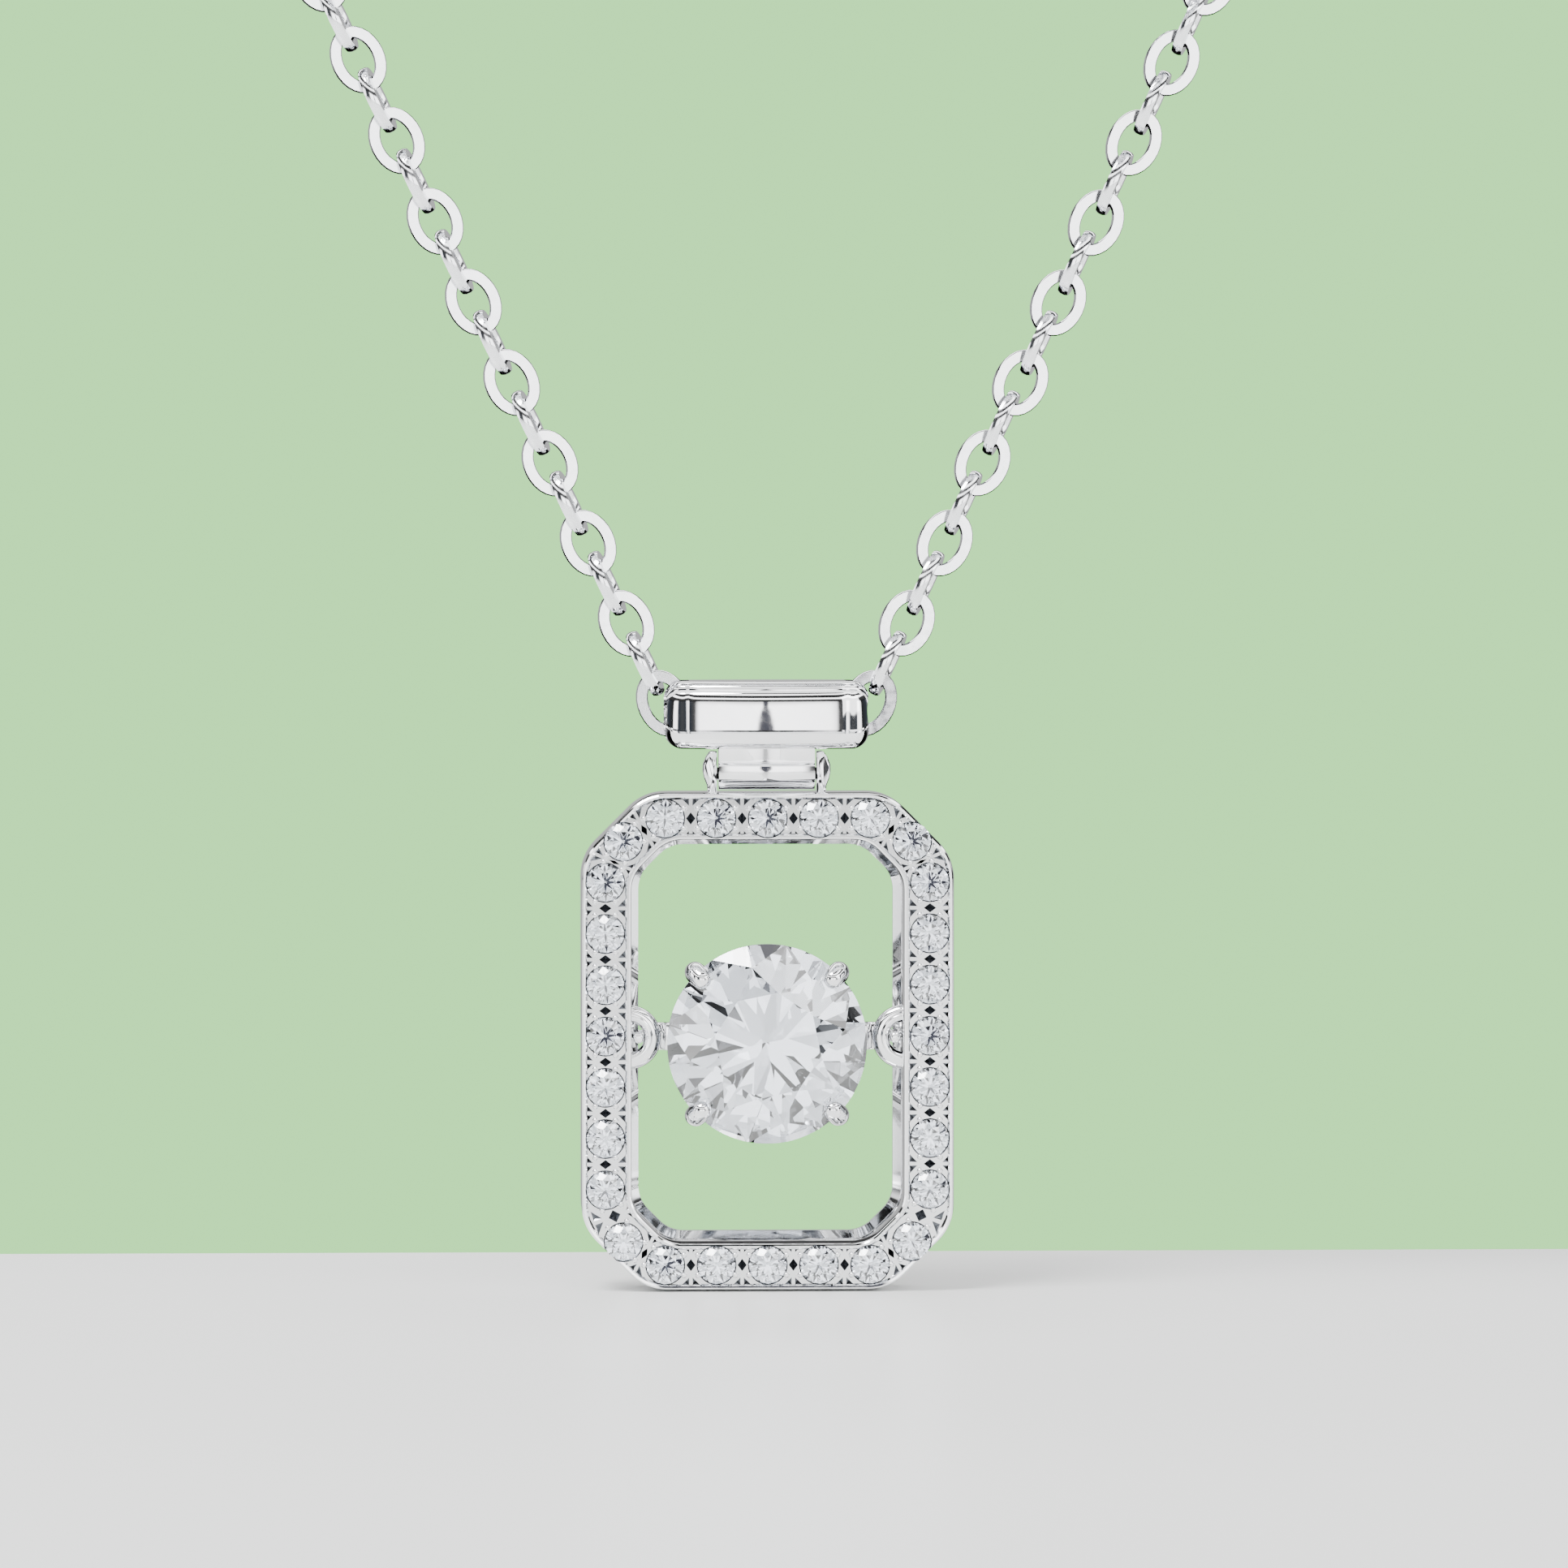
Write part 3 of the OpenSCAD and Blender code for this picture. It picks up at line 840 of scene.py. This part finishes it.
def make_clasp_spring(material):
    """A flat coil of spring wire round the rivet, between the lever and a cheek."""
    turns = 2
    steps = 28
    wire_r = 0.035
    path = []
    for i in range(turns * steps + 1):
        angle = 2 * math.pi * i / steps
        r = mix(PIVOT_R + 0.07, PIVOT_R + 0.15, i / (turns * steps))
        spot = Vector((PIVOT_X + r * math.cos(angle), PIVOT_Y + r * math.sin(angle), 0))
        path.append(spot + UP * (LEVER_T / 2 + 0.07))
    bm = bmesh.new()
    sweep(bm, path, [(wire_r * c, wire_r * s) for c, s in circle_points(8)], UP)
    place_on_clasp(bm)
    shade(bm)
    return piece("clasp_coil_spring", bm, material, "chain", ["clasp_spring"])


# ---------------- cap, neck and staple

CAP_CORNER = 0.45


def cap_section(x):
    """The cap's outline at x. Each row holds (distance in from the deepest point, height as a
    share of half the cap's height): the front panel over a groove and a lower band, then the
    rounded back."""
    front = [
        (0.66, 1.0), (0.45, 0.985), (0.28, 0.94), (0.19, 0.86), (0.15, 0.78), (0.145, 0.71),
        (0.16, 0.66), (0.115, 0.60), (0.08, 0.40), (0.05, 0.10), (0.03, -0.18), (0.02, -0.42),
        (0.07, -0.475), (0.01, -0.53), (0.03, -0.64), (0.10, -0.80), (0.24, -0.92), (0.45, -0.985),
    ]
    back = [
        (0.66, -1.0), (0.40, -0.98), (0.2, -0.90), (0.07, -0.74), (0.01, -0.5), (0.0, 0.0),
        (0.01, 0.5), (0.07, 0.74), (0.2, 0.90), (0.40, 0.98),
    ]
    half_h = CAP_HIGH.z - CAP_Z
    bow_r = 7.5
    panel_x = 2.07
    reach = abs(x)
    depth = math.sqrt(bow_r ** 2 - x ** 2) - (bow_r - CAP_HIGH.y)
    beyond = max(reach - (CAP_HALF_W - CAP_CORNER), 0)
    height = half_h - CAP_CORNER + math.sqrt(CAP_CORNER ** 2 - beyond ** 2)
    turned = 1 - math.sqrt(1 - (beyond / CAP_CORNER) ** 2)
    step = 0.05 * ease(panel_x - 0.2, panel_x + 0.03, reach) + 0.32 * turned
    ring = [Vector((x, -depth + inset + step, CAP_Z + height * z)) for inset, z in front]
    ring += [Vector((x, depth - inset - step * 0.4, CAP_Z + height * z)) for inset, z in back]
    return ring


def cut_cap_mouth(bm, side):
    """Opens the cap's end upwards, in a wedge that the strand leaves through."""
    depth = 0.61
    half_angle = math.radians(33)
    reach = 3
    half_w = reach * math.tan(half_angle)
    mouth = bmesh.new()
    loft(mouth, [
        [Vector((x, 0, CAP_Z - 0.01)), Vector((x, half_w, CAP_Z + reach)),
         Vector((x, -half_w, CAP_Z + reach))]
        for x in (side * (CAP_HALF_W - depth), side * reach)
    ])
    return cut(bm, mouth)


def make_cap(material):
    """The pillow-shaped cap that the chain runs through."""
    hole_r = 0.72
    half = [0.0, 0.5, 1.0, 1.4, 1.7, 1.84, 1.92, 1.98, 2.04, 2.09]
    for angle in range(4, 85, 8):
        half.append(CAP_HALF_W - CAP_CORNER + CAP_CORNER * math.sin(math.radians(angle)))
    places = [-x for x in half[:0:-1]] + half
    bm = bmesh.new()
    loft(bm, [cap_section(x) for x in places])
    hole = bmesh.new()
    drum(hole, Vector((0, 0, CAP_Z)), ACROSS, [(-3, hole_r), (3, hole_r)])
    bm = cut(bm, hole)
    for side in (-1, 1):
        bm = cut_cap_mouth(bm, side)
    shade(bm, 34)
    piece("cap", bm, material, "bail", ["cap_band"])


def make_neck(material):
    """The neck below the cap: a plinth, a bowed collar and the barrel that turns on the staple."""
    half_w = node_box("neck_band")[1].x
    into_cap = 0.12
    top = CAP_LOW.z + into_cap - HINGE_Z
    barrel_r = 0.40
    bore_r = 0.19
    bow_r = 4.2
    depth = 0.62
    front = [
        (0.50, top), (0.50, 0.36), (0.485, 0.33), (0.44, 0.31), (0.44, 0.285), (0.52, 0.26),
        (0.585, 0.235), (0.615, 0.20), (0.62, 0.05), (0.615, -0.10), (0.59, -0.15), (0.53, -0.18),
    ]
    barrel = [
        (barrel_r * math.cos(math.radians(a)), barrel_r * math.sin(math.radians(a)))
        for a in (-32, -45, -60, -75)
    ]
    side = front + barrel
    outline = [(-y, z) for y, z in side] + [(0.0, -barrel_r)] + side[::-1]
    places = [half_w * math.sin(math.radians(a)) for a in (-90, -75, -60, -45, -30, -15)]
    places = places + [0.0] + [-x for x in places[::-1]]

    def section(x):
        narrow = (math.sqrt(bow_r ** 2 - x ** 2) - (bow_r - depth)) / depth
        return [
            Vector((x, y * (narrow if abs(y) > barrel_r else min(1, narrow * 1.35)), HINGE_Z + z))
            for y, z in outline
        ]

    bm = bmesh.new()
    loft(bm, [section(x) for x in places])
    bore = bmesh.new()
    drum(bore, Vector((0, 0, HINGE_Z)), ACROSS, [(-2, bore_r), (2, bore_r)])
    bm = cut(bm, bore)
    shade(bm, 24)
    piece("neck", bm, material, "bail", ["neck_band"])


def make_staple(material):
    """Two curved lugs on the frame's top, with the round pin between them."""
    bm = bmesh.new()
    sunk = 0.05
    foot = FRAME_HIGH.z - HINGE_Z - sunk
    inner_x = 1.25
    pin_r = 0.16
    rounding = [(-0.28, 0.05), (-0.25, 0.012), (-0.22, 0), (0.22, 0), (0.25, 0.012), (0.28, 0.05)]
    outline = [
        (inner_x, foot), (1.47, foot), (1.49, -0.30), (1.56, -0.12), (1.60, 0.06), (1.59, 0.24),
        (1.52, 0.42), (1.44, 0.54), (1.38, 0.57), (inner_x, 0.56),
    ]
    for side in (-1, 1):
        rings = []
        for y, inset in rounding:
            rings.append([
                Vector((side * max(x - inset, inner_x), y, HINGE_Z + z - inset * (z > 0)))
                for x, z in outline
            ])
        loft(bm, rings)
    drum(bm, Vector((0, 0, HINGE_Z)), ACROSS, [(-1.4, pin_r), (1.4, pin_r)])
    shade(bm)
    piece("hinge_staple_lugs", bm, material, "frame", ["hinge_staple"])


# ---------------- frame

PAVE_R = 0.475
SEAT_R = PAVE_R + 0.025
FIELD_Y = FRAME_FRONT + 0.06
PAVE_PITCH = 1.28
COLUMN_X = FRAME_W / 2 - 0.6
ROW_Z = FRAME_H / 2 - 0.62
CORNER = Vector((3.6, 0, 5.0))


def pave_spots():
    """Centres of the pave stones in order round the frame, about its own middle, by row. The side
    rows stand a little high."""
    raised = 0.14
    top = [Vector((i * PAVE_PITCH, 0, ROW_Z)) for i in range(-2, 3)]
    bottom = [Vector((-i * PAVE_PITCH, 0, -ROW_Z)) for i in range(-2, 3)]
    right = [Vector((COLUMN_X, 0, -i * PAVE_PITCH + raised)) for i in range(-3, 4)]
    left = [Vector((-COLUMN_X, 0, i * PAVE_PITCH + raised)) for i in range(-3, 4)]
    corners = [
        CORNER.copy(), Vector((CORNER.x, 0, -CORNER.z)),
        Vector((-CORNER.x, 0, -CORNER.z)), Vector((-CORNER.x, 0, CORNER.z)),
    ]
    return top, right, bottom, left, corners


def octagon_outline(w, h, cut_l, round_r):
    """Points (x, z) of an octagon with eight rounded corners, the same number for every size."""
    corners = []
    for sx, sz, swap in ((1, 1, False), (-1, 1, True), (-1, -1, False), (1, -1, True)):
        pair = [(sx * w / 2, sz * (h / 2 - cut_l)), (sx * (w / 2 - cut_l), sz * h / 2)]
        corners += pair[::-1] if swap else pair
    steps = 8
    points = []
    for k, (x, z) in enumerate(corners):
        here = Vector((x, 0, z))
        before = (Vector((corners[k - 1][0], 0, corners[k - 1][1])) - here).normalized()
        following = corners[(k + 1) % len(corners)]
        after = (Vector((following[0], 0, following[1])) - here).normalized()
        tangent = round_r * math.tan(math.radians(22.5))
        inward = (before + after).normalized()
        centre = here + inward * round_r / math.cos(math.radians(22.5))
        start = here + before * tangent - centre
        end = here + after * tangent - centre
        for i in range(steps + 1):
            points.append(centre + start.slerp(end, i / steps).normalized() * round_r)
    return points


def frame_profile():
    """The band's section as (place from the outer to the inner wall, y), with a thread along both
    rims at the front and a narrow lip at the back of the opening."""
    return [
        (0.03, 1.0), (0.0, 0.95), (0.0, -0.92), (0.015, -0.97), (0.045, -1.0), (0.085, -0.995),
        (0.11, -0.96), (0.13, -0.94), (0.87, -0.94), (0.885, -0.97), (0.91, -1.0), (0.955, -1.0),
        (0.985, -0.975), (1.0, -0.93), (1.0, 0.55), (1.16, 0.72), (1.16, 0.96), (1.14, 1.0),
    ]


def pave_gaps(rows):
    """For each gap between neighbouring stones: its middle, its direction and the room in it."""
    top, right, bottom, left, corners = rows
    spots = [*top, corners[0], *right, corners[1], *bottom, corners[2], *left, corners[3]]
    gaps = []
    for spot, following in zip(spots, spots[1:] + spots[:1]):
        between = following - spot
        along = between.normalized()
        room = between.length / 2 - SEAT_R
        gaps.append(((spot + following) / 2, along, along.cross(BACKWARD), room))
    return gaps


def add_pit(bm, corners, deepest):
    """Adds a pointed cutter: a flat polygon just above the pave field and one deepest point."""
    above = BACKWARD * (FIELD_Y - 0.02)
    rim = [bm.verts.new(corner + above) for corner in corners]
    low = bm.verts.new(deepest)
    bm.faces.new(rim)
    for a, b in zip(rim, rim[1:] + rim[:1]):
        bm.faces.new((a, b, low))


def add_cuts(bm, origin, rows):
    """Bright cuts in each gap: a lozenge pit between the stones and two three-cornered cuts at
    each rim."""
    pit_half_h = 0.17
    pit_depth = 0.22
    cut_depth = 0.07
    for between, along, across, room in pave_gaps(rows):
        centre = origin + between
        width = room - 0.012
        add_pit(bm, [
            centre + along * width, centre + across * pit_half_h,
            centre - along * width, centre - across * pit_half_h,
        ], centre + BACKWARD * (FIELD_Y + pit_depth))
        for side in (-1, 1):
            rim = centre + across * side * 0.55
            tip = centre + across * side * 0.27
            for end in (-1, 1):
                inner = rim + along * end * 0.03
                outer = rim + along * end * (0.17 + room)
                low = (inner + outer + tip) / 3 + BACKWARD * (FIELD_Y + cut_depth)
                add_pit(bm, [inner, outer, tip + along * end * 0.02], low)


def add_grains(bm, origin, rows):
    """Four beads in each gap, which hold the stones on both sides of it."""
    for between, along, across, room in pave_gaps(rows):
        for end in (-1, 1):
            for side in (-1, 1):
                bead = origin + between + along * end * (room + 0.035) + across * side * 0.25
                drum(bm, bead + BACKWARD * FIELD_Y, -BACKWARD, [
                    (-0.06, 0.085), (0.0, 0.085), (0.06, 0.075), (0.10, 0.045), (0.115, 0.015),
                ], 14)


def make_frame_body(material, painted_shade_material):
    """The octagonal band with its seats, open through to the back, its cuts and its beads. Its cut
    faces are painted dark, as painted shade in the seats, pits and cuts.
    """
    band_h = 1.15
    open_r = 0.2
    origin = UP * FRAME_Z
    outer = octagon_outline(FRAME_W, FRAME_H, 1.6, 1.3)
    inner = octagon_outline(2 * WALL_X, FRAME_H - 2 * band_h, 0.9, 0.9)
    bm = bmesh.new()
    loft(bm, [
        [origin + a + (b - a) * q + BACKWARD * y for a, b in zip(outer, inner)]
        for q, y in frame_profile()
    ], closed=True)
    seats = bmesh.new()
    rows = pave_spots()
    for row in rows:
        for spot in row:
            drum(seats, origin + spot, BACKWARD, [
                (-1.2, SEAT_R), (-0.91, SEAT_R), (-0.66, open_r), (1.2, open_r),
            ], 32)
    add_cuts(seats, origin, rows)
    # The cut faces take slot 1, a dark silver that is painted shade in the recesses.
    bm = cut(bm, seats, 1)
    add_grains(bm, origin, rows)
    shade(bm, 26)
    band = piece("frame_band", bm, material, "frame", ["frame_body"])
    # Slot 1 holds the dark silver: painted shade in the seats, pits and bright cuts.
    band.data.materials.append(painted_shade_material)


def make_eyelet(side, name, material):
    """Half a ring on the frame's inner wall, with a raised outer rim and a sloped inner one."""
    ring_r = 0.595
    section = [
        (0.215, 0.0), (0.20, 0.10), (0.15, 0.165), (0.08, 0.195), (0.03, 0.19), (0.01, 0.15),
        (-0.03, 0.165), (-0.12, 0.12), (-0.19, 0.06), (-0.215, 0.0),
    ]
    section = [(u, -v) for u, v in section] + [(u, v) for u, v in section[-2:0:-1]]
    steps = 40
    sunk = 0.05
    wall = Vector((side * (WALL_X + sunk), 0, ROCK_Z))
    path = []
    for i in range(steps + 1):
        angle = math.pi * (0.5 + i / steps)
        path.append(wall + Vector((side * ring_r * math.cos(angle), 0, ring_r * math.sin(angle))))
    bm = bmesh.new()
    sweep(bm, path, section, BACKWARD * side)
    shade(bm, 24)
    piece(name + "_ring", bm, material, "frame", [name])


# ---------------- centre stone and its setting

def make_round_wire(name, y, ring_r, wire_r, material):
    """A wire ring of the basket under the stone."""
    bm = bmesh.new()
    torus(bm, Vector((0, y, STONE_Z)), BACKWARD, ring_r, wire_r, 96)
    shade(bm)
    piece(name + "_wire", bm, material, "setting", [name])


def smooth(points):
    """Rounds off a row of points, keeping its ends."""
    middle_points = [(a + b * 2 + c) / 4 for a, b, c in zip(points, points[1:], points[2:])]
    return [points[0], *middle_points, points[-1]]


def prong_route(outward):
    """Points up one prong, from the base ring to its rounded end, and its radius at each."""
    corners = [
        outward * 1.24 + BACKWARD * (BASE_Y + 0.05),
        outward * (STONE_R + 0.06) + BACKWARD * (GIRDLE_Y + 0.25),
        outward * (STONE_R + 0.02) + BACKWARD * (GIRDLE_Y - 0.10),
        outward * (STONE_R - 0.22) + BACKWARD * (GIRDLE_Y - 0.36),
    ]
    radii = [0.20, 0.25, 0.28, 0.24]
    steps = 6
    path = []
    sizes = []
    for k in range(3):
        for i in range(steps):
            t = i / steps
            path.append(corners[k].lerp(corners[k + 1], t))
            sizes.append(mix(radii[k], radii[k + 1], t))
    path = smooth(smooth(smooth(path)))
    direction = (path[-1] - path[-2]).normalized()
    end = path[-1]
    for angle in (20, 40, 58, 72, 83):
        turned = math.radians(angle)
        path.append(end + direction * radii[3] * math.sin(turned))
        sizes.append(radii[3] * math.cos(turned))
    return path, sizes


def make_prong(name, turn, material):
    """One prong, rising from the base ring to a rounded claw over the crown's edge, with a notch
    for the stone."""
    outward = Vector((math.cos(turn), 0, math.sin(turn)))
    side = BACKWARD.cross(outward).normalized()
    path, sizes = prong_route(outward)
    bm = bmesh.new()
    sweep(bm, path, circle_points(24), side, sizes=sizes)
    notch = bmesh.new()
    drum(notch, Vector((0, GIRDLE_Y, 0)), BACKWARD, [
        (-0.10, STONE_R - 0.09), (0.0, STONE_R + 0.012), (0.10, STONE_R + 0.012), (0.45, 1.9),
    ], 96)
    bm = cut(bm, notch)
    bmesh.ops.translate(bm, vec=Vector((0, 0, STONE_Z)), verts=bm.verts)
    shade(bm)
    piece(name + "_claw", bm, material, "setting", [name])


def hook_bar(bm, side, inner, outer, front, back, half_h):
    """A flat bar from inner to outer, on the side of the stone that side tells, with its front,
    back and outer edges eased."""
    bevel = 0.05
    eased = 0.015
    rings = []
    for y, inset in (
        (front, bevel), (front + 0.02, eased), (front + bevel, 0),
        (back - bevel, 0), (back - 0.02, eased), (back, bevel),
    ):
        z = half_h - inset
        end = outer - inset
        rings.append([
            Vector((side * inner, y, ROCK_Z - z)), Vector((side * end, y, ROCK_Z - z)),
            Vector((side * end, y, ROCK_Z + z)), Vector((side * inner, y, ROCK_Z + z)),
        ])
    loft(bm, rings)


def make_hook(side, name, material):
    """The setting's arm: a flat plate, its thinner end, a narrower arm behind the eyelet, and a
    pin through the eyelet."""
    back = 0.6
    pin_x = WALL_X - 0.19
    bm = bmesh.new()
    hook_bar(bm, side, 2.05, 2.56, 0.1, back, 0.34)
    hook_bar(bm, side, 2.50, 2.82, 0.28, back, 0.34)
    hook_bar(bm, side, 2.76, pin_x, 0.36, back, 0.15)
    drum(bm, Vector((side * pin_x, 0, ROCK_Z)), BACKWARD, [
        (-0.37, 0.05), (-0.35, 0.10), (-0.31, 0.135), (-0.28, 0.14), (0.56, 0.14), (0.6, 0.12),
        (0.62, 0.07),
    ], 24)
    shade(bm)
    piece(name + "_arm", bm, material, "setting", [name])


# ---------------- faceted stones

def brilliant(r, table, crown, girdle, depth):
    """A round brilliant facing -Y about the origin, with its girdle's front edge at y = 0: table,
    8 stars, 8 bezels and 16 upper halves in front, 16 lower halves and 8 mains behind."""
    eighth = math.pi / 4
    half = math.cos(eighth / 2)
    star_r = mix(table * half, r, 0.56)
    star_y = -crown * (r - star_r * half) / (r - table)
    low_r = r * 0.22
    low_y = girdle + (depth - girdle) * (1 - low_r * half / r)

    def at_angle(radius, eighths, y):
        angle = eighths * eighth
        return Vector((radius * math.cos(angle), y, radius * math.sin(angle)))

    bm = bmesh.new()
    tables = [bm.verts.new(at_angle(table, k, -crown)) for k in range(8)]
    stars = [bm.verts.new(at_angle(star_r, k + 0.5, star_y)) for k in range(8)]
    fronts = [bm.verts.new(at_angle(r, k / 2, 0)) for k in range(16)]
    backs = [bm.verts.new(at_angle(r, k / 2, girdle)) for k in range(16)]
    lows = [bm.verts.new(at_angle(low_r, k + 0.5, low_y)) for k in range(8)]
    culet = bm.verts.new((0, depth, 0))
    bm.faces.new(tables)
    for k in range(8):
        after = (k + 1) % 8
        before = k - 1
        bm.faces.new((tables[k], tables[after], stars[k]))
        bm.faces.new((tables[k], stars[k], fronts[2 * k], stars[before]))
        bm.faces.new((stars[k], fronts[2 * k], fronts[2 * k + 1]))
        bm.faces.new((stars[k], fronts[2 * k + 1], fronts[(2 * k + 2) % 16]))
        bm.faces.new((culet, lows[before], backs[2 * k], lows[k]))
        bm.faces.new((lows[k], backs[2 * k], backs[2 * k + 1]))
        bm.faces.new((lows[k], backs[2 * k + 1], backs[(2 * k + 2) % 16]))
    for k in range(16):
        m = (k + 1) % 16
        bm.faces.new((fronts[k], fronts[m], backs[m], backs[k]))
    return bm


def make_centre_stone(material):
    """The round brilliant, its girdle ground round so that its edge is scalloped."""
    full_r = STONE_R / math.cos(math.pi / 16)
    turn = math.radians(11)
    origin = Vector((0, 0, 0))
    bm = brilliant(full_r, STONE_R * 0.54, CROWN_H, 0.08, PAVILION_H)
    outside = bmesh.new()
    drum(outside, origin, BACKWARD, [(-2, 3 * STONE_R), (3, 3 * STONE_R)], 96)
    girdle = bmesh.new()
    drum(girdle, origin, BACKWARD, [(-4, STONE_R), (4, STONE_R)], 128)
    bm = cut(bm, cut(outside, girdle))
    place = Matrix.Translation((0, GIRDLE_Y, STONE_Z)) @ Matrix.Rotation(turn, 4, "Y")
    bmesh.ops.transform(bm, matrix=place, verts=bm.verts)
    piece("round_brilliant", bm, material, "setting", ["centre_stone"])


def make_pave_stones(material):
    """Small brilliants in the frame's seats, each turned by its own angle."""
    top, right, bottom, left, corners = pave_spots()
    template = brilliant(PAVE_R, 0.27, 0.17, 0.01, 0.40)
    bmesh.ops.recalc_face_normals(template, faces=template.faces)
    mesh = bpy.data.meshes.new("small_brilliant")
    template.to_mesh(mesh)
    template.free()
    girdle_y = FRAME_FRONT + 0.05
    turned = 0
    for name, row in (
        ("top_stones", top), ("bottom_stones", bottom), ("left_stones", left),
        ("right_stones", right), ("corner_stones", corners),
    ):
        bm = bmesh.new()
        for spot in row:
            turned += 1
            place = Vector((spot.x, girdle_y, FRAME_Z + spot.z))
            turn = Matrix.Rotation(2.4 * turned, 4, "Y")
            lean = Matrix.Rotation(0.05 * math.sin(1.7 * turned), 4, "X")
            copy_into(bm, mesh, Matrix.Translation(place) @ lean @ turn)
        piece(name.replace("stones", "brilliants"), bm, material, "frame", [name])
    bpy.data.meshes.remove(mesh)


# ---------------- make everything

make_camera()
make_world()
make_lights()
make_stage()

CHAIN_SILVER = silver_material("chain_silver", (0.89, 0.90, 0.93), 0.07, 0.07, 0.08, 0.5)
SILVER = silver_material("polished_silver", (0.90, 0.905, 0.92), 0.035, 0.05, 0.12, 1.2)
# Dark silver for the faces cut into the frame: painted shade in the seats, pits and bright cuts.
SHADED_RECESS_SILVER = silver_material("painted_shade_silver", (0.30, 0.31, 0.33), 0.15, 0.10, 0.3, 0.4)
STONE = stone_material("clear_stone", (0.68, 0.72, 0.79))

left_chain, left_route = make_chain_half(
    "left_chain", -1, CHAIN_SILVER, ["left_strand", "left_tail", "chain_winding"])
right_chain, right_route = make_chain_half(
    "right_chain", 1, CHAIN_SILVER, ["right_strand", "right_tail"])
make_bail_links(CHAIN_SILVER)
jump_ring = make_ring("clasp_jump_ring", EYE_X - 0.05 - RING_R, SILVER)
catch_ring = make_ring("catch_ring", HOOK_X + (HOOK_R + HOOK_HOLE_R) / 2 + 0.05, SILVER)
clasp = make_clasp_body(SILVER)
rivet = make_clasp_pin(SILVER)
spring = make_clasp_spring(SILVER)
make_clasp_lever(SILVER)

make_cap(SILVER)
make_neck(SILVER)
make_staple(SILVER)
make_frame_body(SILVER, SHADED_RECESS_SILVER)
make_pave_stones(STONE)
for side, name in ((-1, "left"), (1, "right")):
    make_eyelet(side, name + "_eyelet", SILVER)
    make_hook(side, name + "_hook", SILVER)
make_round_wire("gallery_rail", RAIL.y, 1.98, 0.16, SILVER)
make_round_wire("base_ring", BASE_Y, 1.05, 0.16, SILVER)
for name, turn in (
    ("upper_right_prong", 45), ("upper_left_prong", 135),
    ("lower_left_prong", 225), ("lower_right_prong", 315),
):
    make_prong(name, math.radians(turn), SILVER)
make_centre_stone(STONE)
